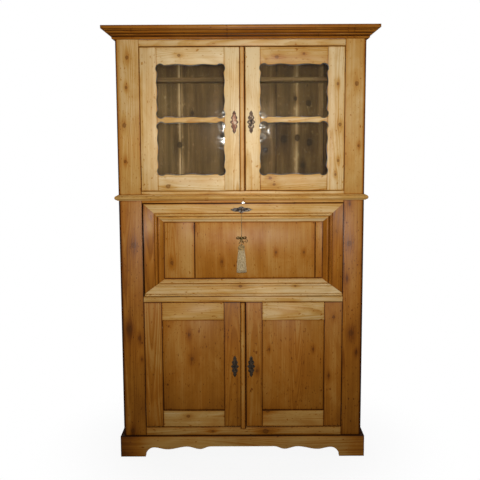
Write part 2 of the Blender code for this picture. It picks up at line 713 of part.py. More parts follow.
def make_tassel(mats):
    """The cord and the tassel swing together about the key's bow."""
    centre_y = FRONT - BOW_OUT
    pivot = empty("tassel_pivot", (0.0, centre_y, KEY_Z))
    route = cord_route()
    curve = bpy.data.curves.new("tassel_cord", "CURVE")
    curve.dimensions = "3D"
    curve.bevel_depth = CORD_RADIUS
    curve.bevel_resolution = 2
    curve.use_fill_caps = True
    spline = curve.splines.new("POLY")
    spline.points.add(len(route) - 1)
    for knot, point in zip(spline.points, route):
        knot.co = (*point, 1.0)
    add("tassel_cord", curve, mats["thread"], pivot)

    head_top = route[-1][2] - SEAM
    profile = [(0.0025, 0.0), (0.0050, -0.0015)] + [(0.0110 * math.sin(a), -0.0125 - 0.0115 * math.cos(a))
                                                   for a in [math.radians(30 + 12 * i) for i in range(10)]]
    profile += [(0.0065, -0.0245), (0.0120, -0.0275), (0.0165, -0.0330), (0.0185, -0.0500),
                (0.0205, -0.0750), (0.0230, -0.1050), (0.0250, -0.1350)]
    steps = 20
    rings = []
    for radius, drop in profile:
        ring = arc((0.0, centre_y), radius, 0, 360, steps)[:-1]
        rings.append([(x, y, head_top + drop) for x, y in ring])
    mesh = loft("tassel", rings)
    mesh.shade_smooth()
    add("tassel", mesh, mats["tassel"], pivot)


def main():
    clear_scene()
    mats = {
        "pine": material("pine", (0.46, 0.27, 0.11), 0.42),
        "pine_panel": material("pine_panel", (0.42, 0.23, 0.08), 0.42),
        "pine_dark": material("pine_dark", (0.33, 0.17, 0.06), 0.40),
        "pine_inside": material("pine_inside", (0.22, 0.16, 0.10), 0.70),
        "iron": material("iron", (0.10, 0.09, 0.08), 0.45, 0.9),
        "glass": material("glass", (0.85, 0.90, 0.88), 0.05),
        "thread": material("thread", (0.30, 0.26, 0.16), 0.90),
        "tassel": material("tassel", (0.72, 0.62, 0.40), 0.90),
    }
    make_carcass(mats)
    make_doors(mats)
    make_fall(mats)


main()
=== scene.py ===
"""Looks of the waxed pine pantry cabinet: materials, metalwork, glass, cord and tassel around the CAD frame.

Units are metres, in the CAD's frame: the front faces -Y, +X is the viewer's right and +Z is up.
"""

import math
import random

import bmesh
import bpy
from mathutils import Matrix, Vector


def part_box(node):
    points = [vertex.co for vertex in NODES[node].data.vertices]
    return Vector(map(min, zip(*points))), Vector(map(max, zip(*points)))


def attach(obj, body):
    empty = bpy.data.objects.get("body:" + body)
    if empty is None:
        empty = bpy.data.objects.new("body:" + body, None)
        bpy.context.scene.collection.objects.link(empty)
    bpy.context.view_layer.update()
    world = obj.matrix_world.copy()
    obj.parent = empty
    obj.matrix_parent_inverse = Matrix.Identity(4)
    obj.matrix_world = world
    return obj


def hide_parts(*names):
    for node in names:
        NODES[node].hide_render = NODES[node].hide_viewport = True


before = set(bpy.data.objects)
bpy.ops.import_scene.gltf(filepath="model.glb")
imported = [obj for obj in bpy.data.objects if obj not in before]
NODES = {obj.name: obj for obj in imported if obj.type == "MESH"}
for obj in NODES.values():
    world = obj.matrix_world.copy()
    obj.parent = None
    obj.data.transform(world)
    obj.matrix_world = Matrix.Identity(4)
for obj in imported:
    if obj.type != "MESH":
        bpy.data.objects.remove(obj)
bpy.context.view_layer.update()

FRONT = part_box("upper_left_hinge_stile")[0].y

# Camera: eye height in front of the cabinet, looking slightly down at it
CAMERA_PLACE = (0.0, -3.866, 1.524)
CAMERA_PITCH = 7.25
CAMERA_YAW = 0.081
CAMERA_ROLL = 0.255
CAMERA_LENS = 58.35
SENSOR = 36.0
CLIP_NEAR, CLIP_FAR = 0.05, 60.0

# The cord's route, as in the CAD
BOW_Y = FRONT - 0.026
CORD_TOP = 1.1924
CORD_LENGTH = 0.1476
CORD_SWAY = 0.0012
CORD_POINTS = 30
CORD_RADIUS = 0.001


# ---- camera

def add_camera():
    data = bpy.data.cameras.new("camera")
    data.sensor_width = SENSOR
    data.lens = CAMERA_LENS
    data.clip_start, data.clip_end = CLIP_NEAR, CLIP_FAR
    camera = bpy.data.objects.new("camera", data)
    camera.location = CAMERA_PLACE
    camera.rotation_euler = [math.radians(a) for a in (90 - CAMERA_PITCH, CAMERA_ROLL, CAMERA_YAW)]
    bpy.context.scene.collection.objects.link(camera)
    bpy.context.scene.camera = camera


# ---- pieces and tubes

def loft(bm, rings):
    """A solid through rings, capped at both ends."""
    for low, high in zip(rings, rings[1:]):
        bridge(bm, low, high)
    bm.faces.new(rings[0])
    bm.faces.new(rings[-1])


def new_piece(name, bm, body, mat, replaced=(), smooth=True):
    """Make a piece from a bmesh, whose points are in the frame's metres, and let it ride on a body."""
    bmesh.ops.recalc_face_normals(bm, faces=bm.faces)
    mesh = bpy.data.meshes.new(name)
    bm.to_mesh(mesh)
    bm.free()
    if smooth:
        mesh.shade_smooth()
    mesh.materials.append(mat)
    piece = bpy.data.objects.new(name, mesh)
    bpy.context.scene.collection.objects.link(piece)
    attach(piece, body)
    if replaced:
        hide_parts(*replaced)
    return piece


def full_turn(steps):
    """Angles that go once round a circle."""
    return [2 * math.pi * i / steps for i in range(steps)]


def add_tube(bm, path, radius, sides=8, lobes=0, lobe_depth=0.0, twist=0.0, taper=None, closed=False):
    """A tube along a path in an existing bmesh, with plied lobes that twist by turns per metre."""
    points = [Vector(p) for p in path]
    count = len(points)
    rings = []
    normal = None
    travelled = 0.0
    for i, point in enumerate(points):
        if closed:
            ahead = points[(i + 1) % count] - points[i - 1]
        else:
            ahead = points[min(i + 1, count - 1)] - points[max(i - 1, 0)]
        ahead.normalize()
        if normal is None:
            normal = ahead.orthogonal().normalized()
        normal = (normal - ahead * normal.dot(ahead)).normalized()
        side = ahead.cross(normal)
        if i:
            travelled += (point - points[i - 1]).length
        size = radius * (taper(i / (count - 1)) if taper else 1.0)
        ring = []
        for angle in full_turn(sides):
            turn = angle - 2 * math.pi * twist * travelled
            r = size * (1 - lobe_depth + lobe_depth * abs(math.cos(lobes * turn / 2))) if lobes else size
            ring.append(bm.verts.new(point + normal * (r * math.cos(angle)) + side * (r * math.sin(angle))))
        rings.append(ring)
    pairs = list(zip(rings, rings[1:]))
    if closed:
        pairs.append((rings[-1], rings[0]))
    for low, high in pairs:
        bridge(bm, low, high)
    if not closed:
        bm.faces.new(rings[0][::-1])
        bm.faces.new(rings[-1])


def bridge(bm, low, high):
    """Faces between two rings of equal point count."""
    count = len(low)
    for k in range(count):
        j = (k + 1) % count
        bm.faces.new((low[k], low[j], high[j], high[k]))


def cord_route():
    """The cord from the key's bow down to the tassel, as the CAD has it."""
    points = []
    for i in range(CORD_POINTS):
        t = i / (CORD_POINTS - 1)
        points.append((CORD_SWAY * math.sin(math.pi * t) ** 2, BOW_Y, CORD_TOP - CORD_LENGTH * t))
    return points


def smooth_path(points, steps):
    """Catmull-Rom curve through the points."""
    p = [Vector(q) for q in points]
    p = [2 * p[0] - p[1]] + p + [2 * p[-1] - p[-2]]
    out = []
    for a, b, c, d in zip(p, p[1:], p[2:], p[3:]):
        for i in range(steps):
            t = i / steps
            out.append(0.5 * (2 * b + (c - a) * t + (2 * a - 5 * b + 4 * c - d) * t * t
                              + (3 * b - a - 3 * c + d) * t ** 3))
    return out + [p[-2]]


# ---- node graphs

class Graph:
    """Short calls that add nodes to a material's or a group's tree."""

    def __init__(self, tree):
        self.tree = tree

    def node(self, kind, given=(), **settings):
        """A node with its settings, and with its first or its named inputs fed."""
        made = self.tree.nodes.new(kind)
        for key, value in settings.items():
            setattr(made, key, value)
        for key, value in given.items() if isinstance(given, dict) else enumerate(given):
            self.feed(made.inputs[key], value)
        return made

    def feed(self, socket, value):
        if isinstance(value, bpy.types.NodeSocket):
            self.tree.links.new(value, socket)
        else:
            socket.default_value = value

    def math(self, operation, *values):
        return self.node("ShaderNodeMath", values, operation=operation).outputs[0]

    def add(self, *values):
        total = values[0]
        for value in values[1:]:
            total = self.math("ADD", total, value)
        return total

    def sub(self, a, b):
        return self.math("SUBTRACT", a, b)

    def mul(self, a, b):
        return self.math("MULTIPLY", a, b)

    def scaled(self, value, factor, offset=0.0):
        return self.math("MULTIPLY_ADD", value, factor, offset)

    def swing(self, value, size):
        """A value from 0 to 1, made to swing evenly about 0."""
        return self.scaled(value, size, -size / 2)

    def fade(self, distance, rate):
        """1 at no distance, falling off by the rate per metre."""
        return self.math("EXPONENT", self.mul(distance, -rate))

    def bell(self, value, centre, width):
        """1 at the centre, falling off as a bell curve."""
        off = self.math("DIVIDE", self.sub(value, centre), width)
        return self.math("EXPONENT", self.mul(self.mul(off, off), -1.0))

    def ease(self, value, low, high, start=0.0, end=1.0, kind="SMOOTHSTEP"):
        given = {"Value": value, "From Min": low, "From Max": high, "To Min": start, "To Max": end}
        return self.node("ShaderNodeMapRange", given, interpolation_type=kind).outputs["Result"]

    def random(self, value):
        """A value from 0 to 1 that is constant for each value given."""
        return self.node("ShaderNodeTexWhiteNoise", {"W": value}, noise_dimensions="1D").outputs["Value"]

    def noise(self, vector, scale=1.0, detail=2.0, rough=0.5, distortion=0.0):
        given = {"Vector": vector, "Scale": scale, "Detail": detail, "Roughness": rough,
                 "Distortion": distortion}
        return self.node("ShaderNodeTexNoise", given).outputs["Fac"]

    def vector(self, x, y, z):
        return self.node("ShaderNodeCombineXYZ", (x, y, z)).outputs[0]

    def place(self):
        """The point's X, Y and Z in the frame at rest."""
        at = self.node("ShaderNodeTexCoord").outputs["Object"]
        return list(self.node("ShaderNodeSeparateXYZ", (at,)).outputs)

    def ramp(self, value, stops):
        made = self.node("ShaderNodeValToRGB", (value,))
        ramp = made.color_ramp
        while len(ramp.elements) < len(stops):
            ramp.elements.new(0.5)
        for element, (place, colour) in zip(ramp.elements, stops):
            element.position = place
            element.color = (*colour, 1.0)
        return made.outputs["Color"]

    def mix(self, factor, colour, other, blend="MIX"):
        """A colour with some of another, given as three numbers, mixed in."""
        given = {0: factor, 6: colour, 7: (*other, 1.0)}
        return self.node("ShaderNodeMix", given, data_type="RGBA", blend_type=blend).outputs[2]

    def bump(self, height, distance, strength):
        given = {"Height": height, "Distance": distance, "Strength": strength}
        return self.node("ShaderNodeBump", given).outputs["Normal"]

    def group(self, tree, **values):
        return self.node("ShaderNodeGroup", values, node_tree=tree).outputs


def new_group(name, inputs, outputs):
    tree = bpy.data.node_groups.new(name, "ShaderNodeTree")
    for way, labels in (("INPUT", inputs), ("OUTPUT", outputs)):
        for label in labels:
            tree.interface.new_socket(label, in_out=way, socket_type="NodeSocketFloat")
    graph = Graph(tree)
    given = graph.node("NodeGroupInput").outputs
    result = graph.node("NodeGroupOutput").inputs
    return graph, given, result


def new_material(name):
    mat = bpy.data.materials.new(name)
    mat.use_nodes = True
    graph = Graph(mat.node_tree)
    return mat, graph, mat.node_tree.nodes["Principled BSDF"].inputs


# ---- pine

def make_grain_group():
    """Growth rings round a wandering heart line, with streaks, fibres and patina, all in metres."""
    names = ("Along", "Across", "Depth", "Seed", "Heart", "Drift", "Spacing")
    g, given, result = new_group("pine_grain", names, ("Ring", "Streak", "Fibre", "Patina"))
    along, across, depth, seed, heart, drift, spacing = (given[n] for n in names)

    def stretched(over, down):
        return g.vector(g.add(g.mul(across, over), seed), g.mul(along, down),
                        g.add(g.mul(depth, over), g.mul(seed, 0.37)))

    wander = g.sub(g.noise(stretched(2.5, 0.9), detail=1.0), 0.5)
    aside = g.add(across, g.mul(wander, 0.07))
    below = g.add(depth, heart, g.mul(along, drift), g.mul(wander, 0.025))
    radius = g.math("SQRT", g.add(g.mul(aside, aside), g.mul(below, below)))
    wobble = g.noise(stretched(30.0, 1.6), detail=3.0)
    turns = g.add(g.math("DIVIDE", radius, spacing), g.mul(wobble, 1.6))
    part = g.math("FRACT", turns)
    band = g.mul(g.ease(part, 0.15, 0.82), g.ease(part, 0.88, 1.0, 1.0, 0.0))
    strength = g.scaled(g.random(g.add(g.math("FLOOR", turns), seed)), 0.7, 0.3)
    g.feed(result["Ring"], g.mul(band, strength))
    g.feed(result["Streak"], g.noise(stretched(42.0, 0.9), detail=4.0, rough=0.6))
    g.feed(result["Fibre"], g.noise(stretched(650.0, 9.0), detail=2.0))
    g.feed(result["Patina"], g.noise(stretched(7.0, 3.2), detail=4.0, rough=0.62, distortion=0.6))
    return g.tree


def make_knot_group():
    """One knot: it pushes the grain aside and returns its dark core and its warm halo."""
    names = ("Across", "Along", "X", "Z", "Radius", "Core", "Halo")
    g, given, result = new_group("pine_knot", names, ("Across", "Core", "Halo"))
    across, along, x, z, radius, core, halo = (given[n] for n in names)
    off_x = g.sub(across, x)
    u = g.math("DIVIDE", off_x, radius)
    v = g.math("DIVIDE", g.sub(along, z), radius)
    ragged = g.noise(g.vector(g.mul(u, 0.9), g.mul(v, 0.9), g.mul(radius, 900.0)), detail=3.0, rough=0.6)
    spread = g.math("SQRT", g.add(g.mul(u, u), g.mul(g.mul(v, v), 0.7)))
    spread = g.add(spread, g.swing(ragged, 0.9))
    disc = g.ease(spread, 0.55, 1.15, 1.0, 0.0)
    bark = g.bell(spread, 0.95, 0.25)
    rings = g.scaled(g.math("SINE", g.mul(spread, 11.0)), 0.14, 0.62)
    dark = g.math("MAXIMUM", g.mul(disc, rings), g.mul(bark, 0.85))
    near = g.math("EXPONENT", g.mul(g.add(g.mul(g.mul(u, u), 0.16), g.mul(g.mul(v, v), 0.035)), -1.0))
    g.feed(result["Across"], g.sub(across, g.mul(off_x, g.mul(near, 0.8))))
    g.feed(result["Core"], g.math("MAXIMUM", core, dark))
    g.feed(result["Halo"], g.math("MAXIMUM", halo, near))
    return g.tree


GRAIN = make_grain_group()
KNOT = make_knot_group()

WAXED = [(0.0, (0.72, 0.55, 0.31)), (0.25, (0.52, 0.300, 0.086)), (0.5, (0.36, 0.134, 0.013)),
         (0.75, (0.190, 0.056, 0.0045)), (1.0, (0.050, 0.015, 0.003))]
BARE = [(0.0, (0.40, 0.30, 0.17)), (0.25, (0.19, 0.122, 0.050)), (0.5, (0.088, 0.051, 0.018)),
        (0.75, (0.036, 0.019, 0.007)), (1.0, (0.009, 0.005, 0.003))]
KNOT_COLOUR = (0.110, 0.035, 0.005)
BARE_KNOT_COLOUR = (0.016, 0.009, 0.005)
WARM_TINT = (1.06, 0.94, 0.72)
GREY_TINT = (1.04, 0.96, 0.92)
AXIS = {"X": 0, "Y": 1, "Z": 2}

# Figure of the timber: its rings go round a heart line that lies in front of the board's face
RING_SPACING = 0.0042
HEART_DEPTH = 0.045
HEART_SPREAD = 0.03
HEART_DRIFT = 0.022

# How much each cause darkens or lightens the tone, which runs from 0 to 1
# Darker towards the floor: painted falloff of the light, with some real patina low down
LOW_FALLOFF_AND_PATINA_TONE = 0.20
BOARD_CONTRAST = 0.12
RING_TONE = 0.15
PATINA_TONE = 0.50
FIBRE_TONE = 0.12
EDGE_TONE = 0.06
SPECK_TONE = 0.45
NICK_TONE = 0.28
BARE_NICK_TONE = -0.24
HALO_TONE = 0.22

# How fast the dirt and a darker band fade away from an edge, and how far the dirt and painted shade in
# hollows reach, per metre
GRIME_FADE = 700.0
EDGE_FADE = 130.0
CREVICE_REACH = 0.012
ARRIS_BAND = (0.004, 0.016)
PINE_RELIEF = 0.0007

# Knots are drawn this far to the right of their listed places, at this part of their listed size
KNOT_SHIFT = 0.0055
KNOT_SIZE = 0.70

seeds = iter(range(1, 400))


def pine(node, grain, face, tone, knots, joints=(), bare=False, inset=0.0, streaks=0.34,
         crevices=0.0, dirt=0.65, bands=(), shades=(), ends=(), wraps=False):
    """A material for one board: grain and face are axes, and tone runs from 0, pale, to 1, dark.

    On a board that wraps, the figure turns the front arris and runs on over the top or the side.
    """
    mat, g, shader = new_material(f"{node}_pine")
    place = g.place()
    low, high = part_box(node)
    seed = next(seeds) * 3.71
    across_axis = "XYZ".replace(grain, "").replace(face, "")
    along, front_across, depth = (place[AXIS[a]] for a in (grain, across_axis, face))
    inward = g.sub(place[1], low[1])
    across = g.add(front_across, inward) if wraps else front_across

    board_seed = seed
    board_tone = 0.0
    if joints:
        count = 0.0
        for joint in joints:
            count = g.add(g.math("GREATER_THAN", across, joint), count)
        board_seed = g.scaled(count, 17.3, seed)
        board_tone = g.swing(g.random(board_seed), BOARD_CONTRAST)

    bent, core, halo = across, 0.0, 0.0
    for x, z, radius in knots:
        x += KNOT_SHIFT
        at_across, at_along = (x, z) if grain == "Z" else (z, x)
        out = g.group(KNOT, Across=bent, Along=along, X=at_across, Z=at_along,
                      Radius=radius * KNOT_SIZE, Core=core, Halo=halo)
        bent, core, halo = out["Across"], out["Core"], out["Halo"]

    i = AXIS[across_axis]
    heart_side = low[i] + (high - low)[i] * (0.35 + 0.3 * math.sin(seed))
    out = g.group(GRAIN, Along=along, Across=g.sub(bent, heart_side), Depth=g.sub(depth, low[AXIS[face]]),
                  Seed=board_seed, Heart=HEART_DEPTH + HEART_SPREAD * math.cos(2 * seed),
                  Drift=HEART_DRIFT * math.cos(3 * seed), Spacing=RING_SPACING)
    ring, streak, fibre, patina = (out[n] for n in ("Ring", "Streak", "Fibre", "Patina"))

    edge = edge_distance(g, (front_across, across_axis), (along, grain), low, high, inset)
    if wraps:
        edge = g.math("MAXIMUM", edge, inward)
    for joint in joints:
        edge = g.math("MINIMUM", edge, g.math("ABSOLUTE", g.sub(across, joint)))
    speck = g.noise(g.vector(g.mul(across, 230.0), g.mul(along, 55.0), seed), detail=2.0)
    grime = g.mul(g.fade(edge, GRIME_FADE), g.scaled(patina, 1.7, 0.15))
    nick = g.noise(g.vector(g.mul(across, 75.0), g.mul(along, 38.0), g.add(seed, 5.0)), detail=3.0)
    # The first and third parts darken the wood towards the floor: painted falloff of the light and some real
    # patina
    parts = [tone + LOW_FALLOFF_AND_PATINA_TONE / 2, board_tone, g.mul(place[2], -LOW_FALLOFF_AND_PATINA_TONE / 2),
             g.swing(streak, streaks), g.mul(ring, RING_TONE),
             g.swing(patina, PATINA_TONE), g.swing(fibre, FIBRE_TONE),
             g.mul(grime, dirt), g.mul(g.fade(edge, EDGE_FADE), EDGE_TONE),
             g.ease(speck, 0.66, 0.76, 0.0, SPECK_TONE)]
    if bare:
        parts.append(g.ease(nick, 0.62, 0.76, 0.0, BARE_NICK_TONE))
    else:
        parts.append(g.ease(nick, 0.66, 0.74, 0.0, NICK_TONE))
    if knots:
        parts.append(g.mul(halo, HALO_TONE))
    # Darker in the hollows of the mouldings, found by ambient occlusion: dirt and painted shade
    if crevices:
        hollow = g.node("ShaderNodeAmbientOcclusion", {"Distance": CREVICE_REACH}, samples=6,
                        only_local=True)
        parts.append(g.ease(hollow.outputs["AO"], 0.35, 0.95, crevices, 0.0))
    # Stripes across the board: painted shade and highlights at arrises, quirks and strip edges, and also real
    # dark joints and tone
    for centre, width, lift in shades:
        shaded = g.mul(g.bell(front_across, centre, width), lift)
        parts.append(g.mul(shaded, g.ease(inward, *ARRIS_BAND, 1.0, 0.0)) if wraps else shaded)
    # Painted shade towards a board's ends
    for centre, width, lift in ends:
        parts.append(g.mul(g.bell(along, centre, width), lift))
    for centre, width, lift in bands:
        parts.append(g.mul(g.mul(g.bell(across, centre, width), streak), lift))
    value = g.add(*parts)
    colour = g.ramp(value, BARE if bare else WAXED)
    hue = g.noise(g.vector(g.mul(place[0], 6.0), seed, g.mul(place[2], 4.0)), detail=2.0)
    tint = GREY_TINT if bare else WARM_TINT
    colour = g.mix(g.ease(hue, 0.35, 0.75, 0.0, 0.6), colour, tint, "MULTIPLY")
    if knots:
        knot, strength = (BARE_KNOT_COLOUR, 1.30) if bare else (KNOT_COLOUR, 0.85)
        colour = g.mix(g.mul(core, strength), colour, knot)
    g.feed(shader["Base Color"], colour)

    height = g.add(g.mul(ring, 0.30), g.mul(fibre, 0.45), g.mul(streak, 0.5), g.mul(speck, -0.15))
    g.feed(shader["Normal"], g.bump(height, PINE_RELIEF, 0.9 if bare else 0.55))
    base = 0.75 if bare else 0.32
    g.feed(shader["Roughness"], g.add(base, g.mul(patina, 0.16), g.mul(ring, -0.06)))
    shader["Specular IOR Level"].default_value = 0.08 if bare else 0.12
    return mat


def edge_distance(g, over, along, low, high, inset):
    """Distance to the nearest edge of the board's face."""
    nearest = None
    for value, axis in (over, along):
        i = AXIS[axis]
        for part in (g.sub(value, low[i] + inset), g.sub(high[i] - inset, value)):
            nearest = part if nearest is None else g.math("MINIMUM", nearest, part)
    return g.math("MAXIMUM", nearest, 0.0)


# ---- softened edges of the CAD nodes

ARRIS = 0.0009
POST_ARRIS = 0.0012
PLINTH_ARRIS = 0.0010
FINE_ARRIS = 0.0006
SHARP_ARRIS = 0.0004
ARRIS_SEGMENTS = 2
ARRIS_ANGLE = 35
SMOOTH_ANGLE = 32
WELD_DISTANCE = 0.00002


def make_smoother():
    """Geometry nodes that shade smooth, apart from edges sharper than SMOOTH_ANGLE."""
    tree = bpy.data.node_groups.new("smooth_by_angle", "GeometryNodeTree")
    for way in ("INPUT", "OUTPUT"):
        tree.interface.new_socket("Geometry", in_out=way, socket_type="NodeSocketGeometry")
    g = Graph(tree)
    mesh = g.node("NodeGroupInput").outputs[0]
    angle = g.node("GeometryNodeInputMeshEdgeAngle").outputs["Unsigned Angle"]
    given = (angle, math.radians(SMOOTH_ANGLE))
    below = g.node("FunctionNodeCompare", given, data_type="FLOAT", operation="LESS_THAN")
    faces = g.node("GeometryNodeSetShadeSmooth", {"Geometry": mesh}).outputs[0]
    given = {"Geometry": faces, "Shade Smooth": below.outputs[0]}
    edges = g.node("GeometryNodeSetShadeSmooth", given, domain="EDGE").outputs[0]
    g.feed(g.node("NodeGroupOutput").inputs[0], edges)
    return tree


SMOOTHER = make_smoother()


def dress(node, mat, width):
    """Give a CAD node its material, join its facets, round its arrises and shade its curves smooth."""
    thing = NODES[node]
    mesh = thing.data
    mesh.materials.clear()
    mesh.materials.append(mat)
    normals = mesh.attributes.get("custom_normal")
    if normals is not None:
        mesh.attributes.remove(normals)
    weld = thing.modifiers.new("weld", "WELD")
    weld.merge_threshold = WELD_DISTANCE
    if width:
        bevel = thing.modifiers.new("arris", "BEVEL")
        bevel.width = width
        bevel.segments = ARRIS_SEGMENTS
        bevel.limit_method = "ANGLE"
        bevel.angle_limit = math.radians(ARRIS_ANGLE)
        bevel.use_clamp_overlap = True
    smooth = thing.modifiers.new("smooth", "NODES")
    smooth.node_group = SMOOTHER


def board(node, grain, tone, face="Y", width=ARRIS, **more):
    """Dress a node in pine of its own, with the knots listed for it."""
    dress(node, pine(node, grain, face, tone, KNOTS.get(node, ()), **more), width)


# ---- the boards

# (X, Z, radius) of the knots in each board
KNOTS = {
    "upper_post_left": [(-0.528, 1.906, 0.009), (-0.535, 1.771, 0.007), (-0.547, 1.598, 0.010),
                        (-0.546, 1.432, 0.008)],
    "upper_post_right": [(0.528, 1.784, 0.010), (0.540, 1.50, 0.006)],
    "upper_left_top_rail": [(-0.289, 1.915, 0.008)],
    "upper_left_bottom_rail": [(-0.348, 1.315, 0.011)],
    "upper_right_top_rail": [(0.160, 1.906, 0.009), (0.284, 1.920, 0.006)],
    "upper_right_bottom_rail": [(0.130, 1.352, 0.008), (0.148, 1.322, 0.007)],
    "upper_right_hinge_stile": [(0.441, 1.784, 0.007), (0.453, 1.598, 0.009), (0.446, 1.432, 0.007),
                                (0.434, 1.367, 0.006)],
    "lower_post_left": [(-0.515, 1.037, 0.014), (-0.546, 0.631, 0.014), (-0.497, 0.587, 0.010),
                        (-0.487, 0.483, 0.005), (-0.540, 0.125, 0.010)],
    "lower_post_right": [(0.503, 1.042, 0.013), (0.502, 1.231, 0.007), (0.495, 0.874, 0.006),
                         (0.518, 0.609, 0.014), (0.544, 0.513, 0.007)],
    "fall_panel": [(-0.337, 0.951, 0.009), (-0.229, 1.122, 0.007), (-0.100, 0.955, 0.007),
                   (0.158, 0.999, 0.006), (0.290, 0.999, 0.006)],
    "fall_bottom_rail": [(-0.012, 0.840, 0.009), (0.249, 0.840, 0.006)],
    "lower_left_panel": [(-0.259, 0.601, 0.008), (-0.246, 0.481, 0.009)],
    "lower_left_bottom_rail": [(-0.268, 0.198, 0.009)],
    "lower_right_hinge_stile": [(0.435, 0.687, 0.007), (0.412, 0.399, 0.007)],
    "lower_right_lock_stile": [(0.067, 0.424, 0.008)],
    "lower_right_panel": [(0.125, 0.528, 0.006), (0.337, 0.528, 0.006)],
    "lower_right_bottom_rail": [(0.118, 0.224, 0.011)],
    "bottom_rail": [(-0.148, 0.121, 0.007), (0.108, 0.121, 0.014)],
    "upper_back": [(0.349, 1.719, 0.016), (0.280, 1.743, 0.010), (0.219, 1.533, 0.021), (0.288, 1.541, 0.018),
                   (0.353, 1.516, 0.020), (0.122, 1.476, 0.015), (-0.329, 1.505, 0.016),
                   (-0.260, 1.672, 0.009), (0.321, 1.393, 0.014)],
}
# Joints between the boards of a panel, and how far a panel is let into its frame
BACK_JOINTS = (-0.315, -0.0655, 0.184, 0.4335)
SIDE_JOINTS = (-0.06, 0.12)
SHELF_JOINTS = (0.04,)
FALL_JOINTS = (-0.2226, 0.3490)
PANEL_LAP = 0.007

# Tone of each board, from 0, pale, to 1, dark; the lower case's boards are set darker than the upper case's:
# partly real patina, partly painted falloff of the light towards the floor
POST_TONES = {"upper": (0.26, 0.30), "lower": (0.44, 0.46)}
SIDE_DARKER = 0.04
BACK_TONE = 0.49
CROSS_TONES = {"upper_top": 0.18, "upper_floor": 0.16, "desk_floor": 0.18,
               "fall_head_rail": 0.27, "bottom_rail": 0.20, "waist_board": 0.22}
SHELF_TONES = {"upper_shelf": 0.37, "lower_shelf": 0.34, "lower_floor": 0.34}
DOOR_PARTS = ("hinge_stile", "lock_stile", "top_rail", "bottom_rail")
DOOR_TONES = {"upper_left": (0.12, 0.08, 0.12, 0.12), "upper_right": (0.11, 0.09, 0.30, 0.16),
              "lower_left": (0.38, 0.42, 0.26, 0.14), "lower_right": (0.40, 0.40, 0.12, 0.22)}
STRIP_TONES = {"upper_meeting_strip": 0.26, "lower_meeting_strip": 0.34}
FALL_TONES = {"fall_top_rail": 0.20, "fall_bottom_rail": 0.10,
              "fall_left_stile": 0.50, "fall_right_stile": 0.50}

# (place, width, tone) of the soft stripes that darken or lighten single boards
BACK_BANDS = {"upper": ((-0.318, 0.013, -1.00), (0.292, 0.011, -0.85)), "lower": ()}
# Painted shade towards the top of the backs
BACK_TOP_PAINTED_SHADE = (1.98, 0.30, 0.12)
# Painted shade in a quirk and a painted highlight on the inner slope of the fall's top rail moulding
TOP_RAIL_PAINTED_SHADE_AND_HIGHLIGHT = ((1.1862, 0.0016, 0.40), (1.1530, 0.0045, -0.24))
FALL_PANEL_SHADES = ((0.372, 0.020, 0.14), (FALL_JOINTS[0], 0.0022, 0.5), (FALL_JOINTS[1], 0.0022, 0.4))

# (width, tone) of the stripes whose place is a board's own edge: painted shade along the posts' outer
# arrises, the meeting strips' edges and the plinth's ends
POST_ARRIS_PAINTED_SHADE = (0.009, 0.75)
STRIP_LEFT_PAINTED_SHADE = (0.0032, 0.55)
STRIP_RIGHT_PAINTED_SHADE = (0.0048, 0.75)
LEFT_TOE_PAINTED_SHADE = (0.10, 0.50)
RIGHT_TOE_PAINTED_SHADE = (0.10, 0.25)


def edges_of(node):
    """X of a node's left and right edges."""
    low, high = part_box(node)
    return low.x, high.x


def grain_of(node):
    """The grain runs along a rail and up a stile."""
    return "X" if node.endswith("rail") else "Z"


def finish_case(case):
    """The posts, sides and back of one case."""
    for side, tone in zip(("left", "right"), POST_TONES[case]):
        post = f"{case}_post_{side}"
        # Painted shade down the post's outer arris
        arris = max(edges_of(post), key=abs)
        board(post, "Z", tone, width=POST_ARRIS, shades=((arris, *POST_ARRIS_PAINTED_SHADE),), wraps=True)
        board(f"{case}_side_{side}", "Z", tone + SIDE_DARKER, face="X", joints=SIDE_JOINTS)
    # The back is darker towards its top: painted shade
    board(f"{case}_back", "Z", BACK_TONE, bare=True, joints=BACK_JOINTS, width=0, streaks=0.7,
          bands=BACK_BANDS[case], ends=(BACK_TOP_PAINTED_SHADE,))


def finish_cross_boards():
    """The boards and rails that run from post to post, and the bare shelves behind them."""
    for node, tone in CROSS_TONES.items():
        board(node, "X", tone, wraps=True)
    for node, tone in SHELF_TONES.items():
        board(node, "X", tone, face="Z", bare=True, joints=SHELF_JOINTS, dirt=0.0)


def finish_front_mouldings():
    board("cornice_front", "X", 0.60, crevices=0.45, width=SHARP_ARRIS, wraps=True)
    # Painted shade towards both ends of the plinth, deeper at the left
    toe_left, toe_right = edges_of("plinth_front")
    toe_painted_shade = ((toe_left, *LEFT_TOE_PAINTED_SHADE), (toe_right, *RIGHT_TOE_PAINTED_SHADE))
    board("plinth_front", "X", 0.18, width=PLINTH_ARRIS, ends=toe_painted_shade)


def finish_paired_boards(side):
    """The boards that the cabinet has on its left and on its right, apart from the frames."""
    board(f"cornice_{side}", "Y", 0.64, face="X", crevices=0.75, width=SHARP_ARRIS)
    board(f"plinth_{side}", "Y", 0.34, face="X")
    board(f"upper_{side}_glazing_bar", "X", 0.20, width=FINE_ARRIS)
    board(f"lower_{side}_panel", "Z", 0.40, inset=PANEL_LAP, dirt=0.8, streaks=0.20)


def finish_doors():
    for door, tones in DOOR_TONES.items():
        for part, tone in zip(DOOR_PARTS, tones):
            board(f"{door}_{part}", grain_of(part), tone)
    for node, tone in STRIP_TONES.items():
        # Painted shade along both edges of each meeting strip
        left, right = edges_of(node)
        board(node, "Z", tone, width=0, shades=((left, *STRIP_LEFT_PAINTED_SHADE), (right, *STRIP_RIGHT_PAINTED_SHADE)))


